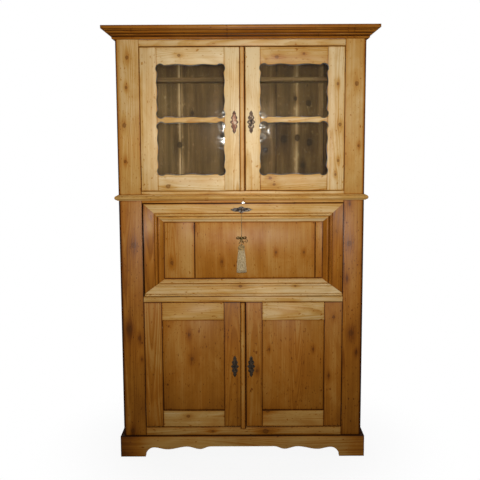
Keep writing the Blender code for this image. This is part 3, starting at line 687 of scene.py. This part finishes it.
def finish_fall():
    for node, tone in FALL_TONES.items():
        # The top rail gets a painted shade line and a painted highlight
        shades = TOP_RAIL_PAINTED_SHADE_AND_HIGHLIGHT if node == "fall_top_rail" else ()
        board(node, grain_of(node), tone, crevices=0.30, width=FINE_ARRIS, shades=shades)
    board("fall_panel", "Z", 0.355, inset=PANEL_LAP, joints=FALL_JOINTS, dirt=0.9, streaks=0.25,
          shades=FALL_PANEL_SHADES)


def finish_boards():
    """Every board has a seed of its own, drawn in this order."""
    finish_case("upper")
    finish_case("lower")
    finish_cross_boards()
    finish_front_mouldings()
    finish_paired_boards("left")
    finish_paired_boards("right")
    finish_doors()
    finish_fall()


# ---- glass

GLASS_COLOURS = [(0.3, (0.90, 0.91, 0.89)), (0.8, (0.95, 0.96, 0.94))]
GLASS_SHADOW = (0.86, 0.87, 0.84, 1.0)
GLASS_IOR = 1.45
RIPPLE_HEIGHT = 0.0012
PANE_LEAN = -22.0


def finish_glass():
    """Old drawn glass: thin and faintly rippled, and it lets lamps through to the shelves."""
    mat, g, shader = new_material("old_glass")
    x, y, z = g.place()
    ripple = g.noise(g.vector(g.mul(x, 11.0), y, g.mul(z, 17.0)), detail=2.0, distortion=0.8)
    seed = g.noise(g.vector(g.mul(x, 60.0), y, g.mul(z, 60.0)), detail=1.0)
    g.feed(shader["Base Color"], g.ramp(ripple, GLASS_COLOURS))
    g.feed(shader["Roughness"], g.scaled(seed, 0.04, 0.01))
    shader["Transmission Weight"].default_value = 1.0
    shader["IOR"].default_value = GLASS_IOR
    # The left pane, where X is below 0, tips a little in its rebate
    lean = g.mul(g.math("MINIMUM", x, 0.0), PANE_LEAN)
    height = g.add(ripple, g.mul(seed, 0.03), lean)
    g.feed(shader["Normal"], g.bump(height, RIPPLE_HEIGHT, 0.8))
    shadow_ray = g.node("ShaderNodeLightPath").outputs["Is Shadow Ray"]
    pane = mat.node_tree.nodes["Principled BSDF"].outputs[0]
    clear = g.node("ShaderNodeBsdfTransparent", (GLASS_SHADOW,)).outputs[0]
    swap = g.node("ShaderNodeMixShader", (shadow_ray, pane, clear))
    g.feed(mat.node_tree.nodes["Material Output"].inputs["Surface"], swap.outputs[0])
    for side in ("left", "right"):
        dress(f"upper_{side}_glass", mat, 0)


# ---- glazing beads

# The scalloped lights, as in the CAD
LOBE_CENTRE = 0.0185
CUSP_ALONG = 0.035
CUSP_IN = 0.0035
LOBE_RADIUS = math.hypot(CUSP_ALONG - LOBE_CENTRE, CUSP_IN - LOBE_CENTRE)
WAVE_HEIGHT = 0.0050
BAR_WAVE = 0.0030
GLASS_FRONT = 0.0127

# The beads: how far they stand into the light, how far in front of the glass, and their size
BEAD_INSET = 0.0006
BEAD_OUT = 0.0012
BEAD_RADIUS = 0.0011
BEAD_SIDES = 6
LOBE_STEPS = 12
WAVE_STEPS = 24
# Near-black painted shade through to pale blue-grey painted highlight along the panes' edges
BEAD_HIGHLIGHT_AND_SHADE = [(0.0, (0.030, 0.026, 0.022)), (0.5, (0.20, 0.21, 0.23)), (1.0, (0.50, 0.54, 0.62))]


def light_path(left, right, bottom, top, waves):
    """Round a scalloped light from its lower left corner; waves are of its bottom, right, top and left."""
    cusps = [math.atan2(CUSP_ALONG - LOBE_CENTRE, CUSP_IN - LOBE_CENTRE),
             2 * math.pi + math.atan2(CUSP_IN - LOBE_CENTRE, CUSP_ALONG - LOBE_CENTRE)]
    radius = LOBE_RADIUS - BEAD_INSET
    corners = ((left, bottom, 1, 1), (right, bottom, -1, 1), (right, top, -1, -1), (left, top, 1, -1))
    points = []
    for i, (x, z, dx, dz) in enumerate(corners):
        start, end = cusps if i % 2 == 0 else cusps[::-1]
        for k in range(LOBE_STEPS + 1):
            a = start + (end - start) * k / LOBE_STEPS
            points.append((x + dx * (LOBE_CENTRE + radius * math.cos(a)),
                           z + dz * (LOBE_CENTRE + radius * math.sin(a))))
        length = right - left if i % 2 == 0 else top - bottom
        for k in range(1, WAVE_STEPS):
            t = k / WAVE_STEPS
            s = CUSP_ALONG + (length - 2 * CUSP_ALONG) * t
            into = CUSP_IN - waves[i] * (1 - math.cos(4 * math.pi * t)) / 2 + BEAD_INSET
            points.append(((left + s, bottom + into), (right - into, bottom + s),
                           (right - s, top - into), (left + into, top - s))[i])
    return points


def bead_highlight_and_shade():
    """Pale blue-grey painted highlights and near-black painted shade, in long stretches along the bead and
    finely broken up.
    """
    mat, g, shader = new_material("glazing_bead_highlight_and_shade")
    at = g.vector(*g.place())
    lit_stretches = g.ease(g.noise(at, 16.0, 3.0, 0.6), 0.42, 0.66)
    fine_breakup = g.ease(g.noise(at, 300.0, 2.0), 0.35, 0.75)
    value = g.mul(lit_stretches, g.scaled(fine_breakup, 0.6, 0.4))
    g.feed(shader["Base Color"], g.ramp(value, BEAD_HIGHLIGHT_AND_SHADE))
    g.feed(shader["Roughness"], g.scaled(fine_breakup, 0.2, 0.35))
    return mat


def add_glazing_beads():
    """A thin bead in the corner between the glass and each scalloped light, coloured with painted highlights
    and painted shade.
    """
    bead_light = bead_highlight_and_shade()
    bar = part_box("upper_left_glazing_bar")
    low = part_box("upper_left_bottom_rail")[1].z - CUSP_IN
    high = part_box("upper_left_top_rail")[0].z + CUSP_IN
    lights = ((low, bar[0].z + CUSP_IN, (WAVE_HEIGHT, WAVE_HEIGHT, BAR_WAVE, WAVE_HEIGHT)),
              (bar[1].z - CUSP_IN, high, (BAR_WAVE, WAVE_HEIGHT, WAVE_HEIGHT, WAVE_HEIGHT)))
    bead_y = FRONT + GLASS_FRONT - BEAD_OUT
    for side in ("left", "right"):
        stiles = [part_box(f"upper_{side}_{part}_stile") for part in ("hinge", "lock")]
        stiles.sort(key=lambda corners: corners[0].x)
        left, right = stiles[0][1].x - CUSP_IN, stiles[1][0].x + CUSP_IN
        bm = bmesh.new()
        for bottom, top, waves in lights:
            path = [(x, bead_y, z) for x, z in light_path(left, right, bottom, top, waves)]
            add_tube(bm, path, BEAD_RADIUS, BEAD_SIDES, closed=True)
        name = f"upper_{side}_glazing_beads"
        new_piece(name, bm, f"upper_{side}_door", bead_light)


# ---- metalwork

PIT_COLOUR = (0.020, 0.014, 0.010)
METAL_RELIEF = 0.0006


def metal(name, roughness, scale, tones, pits=0.6, metallic=1.0):
    """Aged metal: patches between three tones, with fine grain and dark pits."""
    mat, g, shader = new_material(name)
    at = g.vector(*g.place())
    patches = g.noise(at, scale, 3.0, 0.6)
    grain = g.noise(at, scale * 8.0, 2.0)
    pit = g.ease(g.noise(at, scale * 3.5, 3.0, 0.7), 0.54, 0.68)
    value = g.add(g.ease(patches, 0.32, 0.68), g.swing(grain, 0.3))
    colour = g.ramp(value, list(zip((0.0, 0.5, 1.0), tones)))
    colour = g.mix(g.mul(pit, pits), colour, PIT_COLOUR)
    g.feed(shader["Base Color"], colour)
    g.feed(shader["Roughness"], g.add(roughness, g.mul(pit, 0.2), g.swing(patches, 0.2)))
    shader["Metallic"].default_value = metallic
    height = g.add(g.mul(patches, 0.6), g.mul(grain, 0.2), g.mul(pit, -0.6))
    g.feed(shader["Normal"], g.bump(height, METAL_RELIEF, 0.8))
    return mat


IRON = metal("old_iron", 0.50, 120.0,
             ((0.030, 0.024, 0.020), (0.070, 0.055, 0.042), (0.140, 0.095, 0.060)))
PEWTER = metal("pewter", 0.58, 110.0,
               ((0.016, 0.012, 0.010), (0.080, 0.066, 0.058), (0.30, 0.265, 0.235)), pits=0.9)
BRASS = metal("worn_brass", 0.60, 70.0,
              ((0.10, 0.030, 0.012), (0.32, 0.140, 0.075), (0.56, 0.43, 0.30)), pits=0.8, metallic=0.4)
BROWN_BRASS = metal("browned_brass", 0.60, 75.0,
                    ((0.035, 0.018, 0.010), (0.12, 0.065, 0.035), (0.50, 0.40, 0.28)),
                    pits=0.8, metallic=0.4)
DARK_BRASS = metal("tarnished_brass", 0.60, 80.0,
                   ((0.035, 0.018, 0.010), (0.075, 0.042, 0.026), (0.13, 0.080, 0.050)),
                   metallic=0.5)
STEEL = metal("rubbed_steel", 0.28, 90.0,
              ((0.55, 0.56, 0.58), (0.75, 0.77, 0.80), (0.90, 0.92, 0.95)), pits=0.15)
# Near-black painted shade for the hollows behind the keyholes
KEYHOLE_SHADE = metal("keyhole_painted_shade", 0.9, 200.0,
             ((0.006, 0.005, 0.004), (0.010, 0.008, 0.006), (0.018, 0.013, 0.010)), metallic=0.0)

# Escutcheons: outline, the levels of rim and face in front of the door, nails (up, radius)
PLATE_LENGTH = 0.107
PLATE_WIDTH = 0.039
PLATE_STEPS = 60
PLATE_WAIST = 0.52
PLATE_LOBES = 0.34
PLATE_WING = 0.14
WING_HEIGHT = 0.035
PLATE_LEVELS = (0.0006, 0.0014, 0.0024)
FACE_WIDTH = 0.68
FACE_LENGTH = 0.88
CHAMFER_DEPTH = 0.0005
CHAMFER_SCALE = 0.95
PLATE_NAILS = ((-0.040, 0.0021), (0.040, 0.0021))
MIDDLE_NAIL = (-0.028, 0.0012)
NAIL_SIDES = 14
NAIL_PROFILE = ((1.0, 0.0), (0.95, 0.35), (0.75, 0.7), (0.4, 0.94))
NAIL_RISE = 0.6
NAIL_SUNK = 0.0002
KEYHOLE_STEPS = 14
POCKET_WIDTH = 1.2
POCKET_LENGTH = 1.1
POCKET_LEVELS = (0.0001, 0.0005)
UPPER_LOCK_Z = 1.611
LOWER_LOCK_Z = 0.446

# Strike tongue on the head rail: (half width, bottom, top) of its block and of its point
STRIKE_BLOCKS = ((0.0098, -0.0026, 0.0002), (0.0056, 0.0001, 0.0048))
STRIKE_REAR = 0.0030
STRIKE_FRONT = 0.0012
STRIKE_CUT = 0.0009

# Butt hinges
HINGE_FROM_END = 0.085
LEAF_HALF = 0.031
LEAF_THICK = 0.0006
LEAF_FRONT = 0.0022
LEAF_REAR = 0.0220
PIN_RADIUS = 0.0017
PIN_SIDES = 12
PIN_STEP = 0.002
DOOR_PIN_STEPS = 16
FALL_PIN_STEPS = 18
KNUCKLE = 7
KNUCKLE_GAP = 0.80
FALL_HINGES = (("left", -0.33), ("right", 0.345))


def plate_outline():
    """Upright plate pointed at both ends, with two lobes each way from a narrow wing at the middle."""
    right = []
    for i in range(PLATE_STEPS + 1):
        t = i / PLATE_STEPS
        lobes = PLATE_LOBES * abs(math.sin(5 * math.pi * t))
        swell = PLATE_WAIST + lobes + PLATE_WING * math.exp(-((t - 0.5) / WING_HEIGHT) ** 2)
        right.append((PLATE_WIDTH / 2 * math.sin(math.pi * t) ** 0.7 * swell, PLATE_LENGTH * (t - 0.5)))
    return right + [(-x, z) for x, z in right[-2:0:-1]]


def keyhole(radius, slot=0.0, drop=0.0, rise=0.0):
    """Outline of a round hole, with a slot below it where one is given."""
    reach = math.pi - (math.asin(slot / radius) if slot else math.pi / KEYHOLE_STEPS)
    points = []
    for i in range(KEYHOLE_STEPS + 1):
        a = reach * (2 * i / KEYHOLE_STEPS - 1)
        points.append((radius * math.sin(a), rise + radius * math.cos(a)))
    return points + ([(slot, rise - drop), (-slot, rise - drop)] if slot else [])


def ring_at(bm, outline, y, x, z, scale=1.0):
    """Points of an outline (x, z), set down in the front at a depth of y."""
    return [bm.verts.new((x + px * scale, y, z + pz * scale)) for px, pz in outline]


def fill_between(bm, outer, inner):
    """Cover the face inside the outer ring, apart from the inner one."""
    edges = []
    for ring in (outer, inner):
        for k in range(len(ring)):
            pair = (ring[k - 1], ring[k])
            edges.append(bm.edges.get(pair) or bm.edges.new(pair))
    bmesh.ops.triangle_fill(bm, edges=edges, use_beauty=True)


def add_nail(bm, x, y, z, radius):
    """A domed nail head standing out towards the front."""
    rings = []
    for part, out in NAIL_PROFILE:
        size = part * radius
        ring = [(size * math.cos(a), size * math.sin(a)) for a in full_turn(NAIL_SIDES)]
        rings.append(ring_at(bm, ring, y - radius * NAIL_RISE * out, x, z))
    loft(bm, rings)


def add_plate(name, x, z, outline, y_range, body, mat, hole=None, nails=()):
    """A flat plate with chamfered edges, a keyhole where one is given, and nail heads."""
    base, face = y_range
    bm = bmesh.new()
    low = ring_at(bm, outline, base, x, z)
    side = ring_at(bm, outline, face + CHAMFER_DEPTH, x, z)
    high = ring_at(bm, outline, face, x, z, CHAMFER_SCALE)
    bridge(bm, low, side)
    bridge(bm, side, high)
    if hole:
        rim = ring_at(bm, hole, face, x, z)
        foot = ring_at(bm, hole, base, x, z)
        bridge(bm, rim, foot)
        fill_between(bm, high, rim)
        fill_between(bm, low, foot)
    else:
        for ring in (high, low):
            edges = [bm.edges.get((ring[k - 1], ring[k])) for k in range(len(ring))]
            bmesh.ops.triangle_fill(bm, edges=edges)
    for up, radius in nails:
        add_nail(bm, x, face + NAIL_SUNK, z + up, radius)
    new_piece(name, bm, body, mat, smooth=False)


def add_pocket(name, x, z, body, hole):
    """A near-black sheet that closes a keyhole at the back: painted shade for the hollow of the lock."""
    bm = bmesh.new()
    outline = [(px * POCKET_WIDTH, pz * POCKET_LENGTH) for px, pz in hole]
    loft(bm, [ring_at(bm, outline, FRONT - out, x, z) for out in POCKET_LEVELS])
    new_piece(name, bm, body, KEYHOLE_SHADE, smooth=False)


def add_escutcheon(name, x, z, body, rim_metal, face_metal, hole=None):
    """A nailed lock plate on the front: a dark rim, a raised face and a pocket of painted shade behind the
    hole.
    """
    outline = plate_outline()
    inner = [(px * FACE_WIDTH, pz * FACE_LENGTH) for px, pz in outline]
    levels = [FRONT - out for out in PLATE_LEVELS]
    nails = PLATE_NAILS if hole else (*PLATE_NAILS, MIDDLE_NAIL)
    add_plate(f"{name}_rim", x, z, outline, levels[:2], body, rim_metal, hole)
    add_plate(name, x, z, inner, levels[1:], body, face_metal, hole, nails)
    if hole:
        add_pocket(f"{name}_pocket", x, z, body, hole)


def add_block(bm, low, high, cut=0.0):
    """A box, with its front edges taken off by cut."""
    x0, y0, z0 = low
    x1, y1, z1 = high
    levels = [(y1, 0.0), (y0 + cut, 0.0), (y0, cut)] if cut else [(y1, 0.0), (y0, 0.0)]
    rings = []
    for y, c in levels:
        corners = ((x0 + c, z0 + c), (x1 - c, z0 + c), (x1 - c, z1 - c), (x0 + c, z1 - c))
        rings.append([bm.verts.new((x, y, z)) for x, z in corners])
    loft(bm, rings)


def along_pin(steps):
    """Places along a pin, PIN_STEP apart, from its middle out to either end."""
    return [i * PIN_STEP for i in range(-steps, steps + 1)]


def add_pin(name, line):
    """A hinge's pin, with a narrow gap between one knuckle and the next."""
    last = len(line) - 1

    def knuckles(t):
        return KNUCKLE_GAP if round(t * last) % KNUCKLE == 0 and 0 < t < 1 else 1.0

    bm = bmesh.new()
    add_tube(bm, line, PIN_RADIUS, PIN_SIDES, taper=knuckles)
    new_piece(name, bm, "carcass", IRON)


def add_butt_hinge(name, door, door_edge, post_edge, z):
    """A pin between the door and its post, a leaf on the door and a plate on the post."""
    axis = (door_edge + post_edge) / 2
    add_pin(name, [(axis, FRONT, z + up) for up in along_pin(DOOR_PIN_STEPS)])
    for kind, edge, body in (("leaf", door_edge, door), ("plate", post_edge, "carcass")):
        x0, x1 = sorted((edge, edge + math.copysign(LEAF_THICK, axis - edge)))
        low = (x0, FRONT + LEAF_FRONT, z - LEAF_HALF)
        high = (x1, FRONT + LEAF_REAR, z + LEAF_HALF)
        bm = bmesh.new()
        add_block(bm, low, high)
        new_piece(f"{name}_{kind}", bm, body, IRON, smooth=False)


def add_hinges():
    """Two butt hinges on each door, and two pins under the fall."""
    for case in ("upper", "lower"):
        for side in ("left", "right"):
            door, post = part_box(f"{case}_{side}_hinge_stile"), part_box(f"{case}_post_{side}")
            outer, inner = (0, 1) if side == "left" else (1, 0)
            ends = (("low", door[0].z + HINGE_FROM_END), ("high", door[1].z - HINGE_FROM_END))
            for place, z in ends:
                name = f"{case}_{side}_hinge_{place}"
                add_butt_hinge(name, f"{case}_{side}_door", door[outer].x, post[inner].x, z)
    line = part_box("fall_bottom_rail")[0].z / 2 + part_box("desk_floor")[1].z / 2
    for word, x in FALL_HINGES:
        add_pin(f"fall_hinge_{word}", [(x + out, FRONT, line) for out in along_pin(FALL_PIN_STEPS)])


def add_escutcheons():
    """One on each door: a blind one, two with a keyhole and one with an oval hole."""
    oval = [(x * 0.8, z) for x, z in keyhole(0.0062)]
    upper_hole = keyhole(0.0050, slot=0.0027, drop=0.0260, rise=0.0060)
    lower_hole = keyhole(0.0032, slot=0.0014, drop=0.0130, rise=0.0040)
    for door, x, z, rim_metal, face_metal, hole in (
            ("upper_left", -0.0315, UPPER_LOCK_Z, DARK_BRASS, BRASS, None),
            ("upper_right", 0.0468, UPPER_LOCK_Z, DARK_BRASS, BROWN_BRASS, upper_hole),
            ("lower_left", -0.0347, LOWER_LOCK_Z, IRON, IRON, oval),
            ("lower_right", 0.0441, LOWER_LOCK_Z, IRON, IRON, lower_hole)):
        add_escutcheon(f"{door}_escutcheon", x, z, f"{door}_door", rim_metal, face_metal, hole)


def add_strike():
    """The bright tongue over the fall's lock, on the face of the head rail."""
    middle = sum(edges_of("fall_lock_bolt")) / 2
    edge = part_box("fall_head_rail")[0].z
    bm = bmesh.new()
    for half, bottom, top in STRIKE_BLOCKS:
        low = (middle - half, FRONT + STRIKE_FRONT, edge + bottom)
        high = (middle + half, FRONT + STRIKE_REAR, edge + top)
        add_block(bm, low, high, STRIKE_CUT)
    new_piece("strike_tongue", bm, "carcass", STEEL, smooth=False)


def add_metalwork():
    add_escutcheons()
    for node in ("fall_key", "fall_lock_bolt", "fall_lock_plate"):
        dress(node, IRON, SHARP_ARRIS)
    dress("fall_escutcheon", PEWTER, FINE_ARRIS)
    add_strike()
    add_hinges()


# ---- cord, charm and tassel

CORD_SIDES = 12
CORD_LAY = dict(lobes=3, lobe_depth=0.22, twist=110)

# Skirt: strands spread evenly by the golden angle, from a ring at their heads to a wider one at their feet
STRANDS = 230
GOLDEN_ANGLE = 2.39996
STRAND_RADIUS = 0.00105
STRAND_STEPS = 8
SKIRT_HEAD = 0.0135
SKIRT_FOOT = 0.0246
SKIRT_DROP = 0.026

# Head: gimp loops round a core, with (radius, drop) of the bands at its neck and at its top
GIMP = dict(sides=8, lobes=3, lobe_depth=0.2, twist=160, closed=True)
LOOPS = 9
LOOP_STEPS = 22
LOOP_PLACE = 0.0105
LOOP_DROP = 0.0150
LOOP_LEAN = 0.55
LOOP_HALF_WIDTH = 0.0062
LOOP_HALF_HEIGHT = 0.0085
LOOP_BEND = 0.0022
LOOP_GIMP = 0.0021
NECK_BANDS = ((0.0118, 0.0262), (0.0128, 0.0292))
NECK_GIMP = 0.0019
TOP_BANDS = ((0.0032, 0.0022), (0.0062, 0.0052))
TOP_GIMP = 0.0018
CORE = ((0.004, 0.0030), (0.0085, 0.0080), (0.0098, 0.0150), (0.0080, 0.0220), (0.0105, 0.0300))

# Charm: a bow tied on the cord, this far over the tassel's head
CHARM_RISE = 0.0290
BOW_WIRE = 0.0022
BOW_STEPS = 28
KNOT_TURNS = (-0.0032, 0.0, 0.0032)
KNOT_RADIUS = 0.0042
KNOT_WIRE = 0.0020
TAIL = ((0.0010, -0.002, 0.0), (0.0045, -0.003, -0.008), (0.0055, -0.003, -0.017), (0.0115, -0.003, -0.0250))
LINK = ((0.0050, -0.003, -0.0140), (0.0130, -0.003, -0.0165), (0.0206, -0.001, -0.0140))
RING_WIRE = 0.0007
LINK_WIRE = 0.0006


def thread(name, pale, dark, scale):
    """Twisted thread: tufts between a pale and a dark tone, with fine fuzz and duller patches."""
    mat, g, shader = new_material(name)
    x, y, z = g.place()
    at = g.vector(x, y, z)
    along = g.vector(g.mul(x, scale), g.mul(y, scale), g.mul(z, scale * 0.12))
    tuft = g.noise(along, detail=3.0, rough=0.6)
    fuzz = g.noise(at, 2200.0, 2.0)
    blotch = g.noise(at, scale * 0.28, 2.0)
    value = g.add(g.ease(tuft, 0.30, 0.70), g.swing(fuzz, 0.4), g.ease(blotch, 0.48, 0.66, 0.12, -0.60))
    middle = tuple((a + b) / 2 for a, b in zip(pale, dark))
    g.feed(shader["Base Color"], g.ramp(value, [(0.0, dark), (0.5, middle), (1.0, pale)]))
    g.feed(shader["Roughness"], g.scaled(fuzz, 0.2, 0.7))
    shader["Sheen Weight"].default_value = 0.25
    shader["Sheen Roughness"].default_value = 0.5
    g.feed(shader["Normal"], g.bump(fuzz, 0.0004, 0.7))
    return mat


def spot(radius, angle, z):
    """A point round the cord's line."""
    return radius * math.cos(angle), BOW_Y + radius * math.sin(angle), z


def band(radius, z, steps, waves=0, wave=0.0):
    """Points that go once round the cord's line, waving up and down."""
    points = []
    for i in range(steps):
        t = i / steps
        points.append(spot(radius, 2 * math.pi * t, z + wave * math.sin(waves * 2 * math.pi * t)))
    return points


def add_hanging_cord(route):
    mat = thread("cord_thread", (0.32, 0.25, 0.12), (0.09, 0.065, 0.028), 400.0)
    bm = bmesh.new()
    add_tube(bm, smooth_path(route, 8), CORD_RADIUS, CORD_SIDES, **CORD_LAY)
    return new_piece("hanging_cord", bm, "tassel", mat, ["tassel_cord"])


def add_skirt(low, top):
    """Loose strands that hang from the neck, each a little short, turned and bent in its own way."""
    mat = thread("straw_silk", (0.78, 0.63, 0.37), (0.28, 0.185, 0.075), 900.0)
    rng = random.Random(11)
    bm = bmesh.new()
    for k in range(STRANDS):
        part = math.sqrt((k + 0.5) / STRANDS)
        angle = k * GOLDEN_ANGLE
        start = SKIRT_HEAD * part
        end = SKIRT_FOOT * part * rng.uniform(0.94, 1.0)
        drift = rng.uniform(-0.12, 0.12)
        foot = low + rng.uniform(0.0005, 0.0075)
        points = []
        for i in range(STRAND_STEPS + 1):
            t = i / STRAND_STEPS
            r = start + (end - start) * t ** 0.7
            a = angle + drift * t + 0.05 * math.sin(9 * t + k)
            points.append(spot(r, a, top - SKIRT_DROP + (foot - top + SKIRT_DROP) * t))
        add_tube(bm, points, STRAND_RADIUS, 5, taper=lambda t: 0.8 + 0.2 * t)
    new_piece("tassel_skirt", bm, "tassel", mat, ["tassel"])


def head_loop(angle, lean, top):
    """One leaning oval of gimp, bent round the head at an angle from its middle."""
    x, y, z = spot(LOOP_PLACE, angle, top - LOOP_DROP)
    loop = []
    for a in full_turn(LOOP_STEPS):
        across, up = LOOP_HALF_WIDTH * math.cos(a), LOOP_HALF_HEIGHT * math.sin(a)
        side = across * math.cos(lean) - up * math.sin(lean)
        rise = across * math.sin(lean) + up * math.cos(lean)
        out = LOOP_BEND * math.cos(2 * a)
        loop.append((x - side * math.sin(angle) + out * math.cos(angle),
                     y + side * math.cos(angle) + out * math.sin(angle), z + rise))
    return loop


def add_head(top):
    """The wound head: nine crossing loops, a wavy band at the neck, a cap and a core."""
    mat = thread("gold_thread", (0.66, 0.46, 0.17), (0.16, 0.090, 0.025), 500.0)
    bm = bmesh.new()
    for k, angle in enumerate(full_turn(LOOPS)):
        lean = LOOP_LEAN if k % 2 else -LOOP_LEAN
        add_tube(bm, head_loop(angle, lean, top), LOOP_GIMP, **GIMP)
    for radius, drop in NECK_BANDS:
        add_tube(bm, band(radius, top - drop, 40, 5, 0.0008), NECK_GIMP, **GIMP)
    for radius, drop in TOP_BANDS:
        add_tube(bm, band(radius, top - drop, 24), TOP_GIMP, **GIMP)
    loft(bm, [[bm.verts.new(spot(radius, a, top - drop)) for a in full_turn(20)] for radius, drop in CORE])
    return new_piece("tassel_head", bm, "tassel", mat, ["tassel"])


def bow_loop(side, z0):
    """A drop-shaped loop of the bow, to one side of its knot."""
    loop = []
    for a in full_turn(BOW_STEPS):
        r = 0.0100 * (1 + math.cos(a)) / 2 + 0.0004
        rise = 0.0058 * math.sin(a) * (0.35 + 0.65 * (1 + math.cos(a)) / 2)
        loop.append((side * (0.0030 + 2 * r * 0.93), BOW_Y - 0.0032 * math.sin(a / 2), z0 + rise + 0.001))
    return loop


def charm_wire(z0, offsets, steps, side=1):
    """A smooth wire through points given from the bow's knot."""
    return smooth_path([(side * dx, BOW_Y + dy, z0 + dz) for dx, dy, dz in offsets], steps)


def add_charm(top):
    """A bow of dark bronze wire tied on the cord: two loops, a knot, two tails and a small ring."""
    mat = metal("dark_bronze", 0.42, 200.0,
                ((0.018, 0.011, 0.004), (0.120, 0.078, 0.024), (0.50, 0.37, 0.15)), pits=0.5)
    z0 = top + CHARM_RISE
    bm = bmesh.new()
    for side in (-1, 1):
        add_tube(bm, bow_loop(side, z0), BOW_WIRE, closed=True)
        add_tube(bm, charm_wire(z0, TAIL, 5, side), BOW_WIRE, taper=lambda t: 1.15 - 0.5 * t)
    for shift in KNOT_TURNS:
        add_tube(bm, band(KNOT_RADIUS, z0 + shift, 24), KNOT_WIRE, closed=True)
    ring = [(0.0245 + 0.0042 * math.cos(a), BOW_Y - 0.001, z0 - 0.0140 + 0.0060 * math.sin(a))
            for a in full_turn(20)]
    add_tube(bm, ring, RING_WIRE, 6, closed=True)
    add_tube(bm, charm_wire(z0, LINK, 6), LINK_WIRE, 6)
    return new_piece("cord_charm", bm, "tassel", mat)


def add_tassel():
    low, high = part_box("tassel")
    route = cord_route()
    cord = add_hanging_cord(route)
    add_skirt(low.z, high.z)
    head = add_head(high.z)
    charm = add_charm(high.z)


# ---- stage

FLOOR_RADIUS = 6.0
FLOOR_DROP = 0.0005
SHADOW_RANGE = (0.45, 1.1)
SHADOW_STRENGTH = 0.09
WORLD_LIGHT = 0.10


def add_light(name, place, target, power, size, spread=180.0, colour=(1.0, 1.0, 1.0)):
    """A round lamp turned towards its target."""
    data = bpy.data.lights.new(name, "AREA")
    data.shape = "DISK"
    data.size = size
    data.energy = power
    data.spread = math.radians(spread)
    data.color = colour
    light = bpy.data.objects.new(name, data)
    light.location = place
    light.rotation_euler = (Vector(target) - Vector(place)).to_track_quat("-Z", "Y").to_euler()
    bpy.context.scene.collection.objects.link(light)


def add_lights():
    add_light("key", place=(0.08, -3.80, 1.645), target=(0.05, 0.0, 1.50), power=14.5, size=0.05,
              spread=66.0, colour=(1.0, 0.97, 0.92))
    add_light("top", place=(0.0, 0.0, 4.2), target=(0.0, 0.0, 1.0), power=16.0, size=2.4)
    for side in (-1, 1):
        add_light(f"rim_{side + 1}", place=(side * 3.6, 1.6, 2.0), target=(0.0, 0.1, 1.0), power=12.0,
                  size=1.6)
    add_light("rear", place=(0.0, 4.2, 2.0), target=(0.0, 0.2, 1.0), power=70.0, size=1.8)


def set_world():
    """A white background that itself lights the cabinet only faintly."""
    world = bpy.data.worlds.new("studio")
    world.use_nodes = True
    bpy.context.scene.world = world
    g = Graph(world.node_tree)
    seen = g.node("ShaderNodeLightPath").outputs["Is Camera Ray"]
    background = world.node_tree.nodes["Background"]
    background.inputs["Color"].default_value = (1.0, 1.0, 1.0, 1.0)
    g.feed(background.inputs["Strength"], g.ease(seen, 0.0, 1.0, WORLD_LIGHT, 1.0, "LINEAR"))


def floor_shade():
    """Clear away from the cabinet, so that the floor shows only as a soft shade under it."""
    mat, g, shader = new_material("studio_floor")
    x, y, z = g.place()
    grit = g.noise(g.vector(x, y, z), 30.0, 3.0)
    g.feed(shader["Base Color"], g.ramp(grit, [(0.0, (0.86, 0.86, 0.86)), (1.0, (0.90, 0.90, 0.90))]))
    shader["Roughness"].default_value = 0.9
    distance = g.math("SQRT", g.add(g.mul(x, x), g.mul(y, y)))
    g.feed(shader["Alpha"], g.ease(distance, *SHADOW_RANGE, SHADOW_STRENGTH, 0.0))
    return mat


def add_floor():
    bm = bmesh.new()
    bmesh.ops.create_circle(bm, cap_ends=True, radius=FLOOR_RADIUS, segments=64)
    mesh = bpy.data.meshes.new("floor")
    bm.to_mesh(mesh)
    bm.free()
    mesh.materials.append(floor_shade())
    floor = bpy.data.objects.new("floor", mesh)
    floor.location.z = -FLOOR_DROP
    bpy.context.scene.collection.objects.link(floor)


def set_stage():
    bpy.context.scene.view_settings.view_transform = "Standard"
    set_world()
    add_lights()
    add_floor()


add_camera()
add_tassel()
finish_boards()
finish_glass()
add_glazing_beads()
add_metalwork()
set_stage()
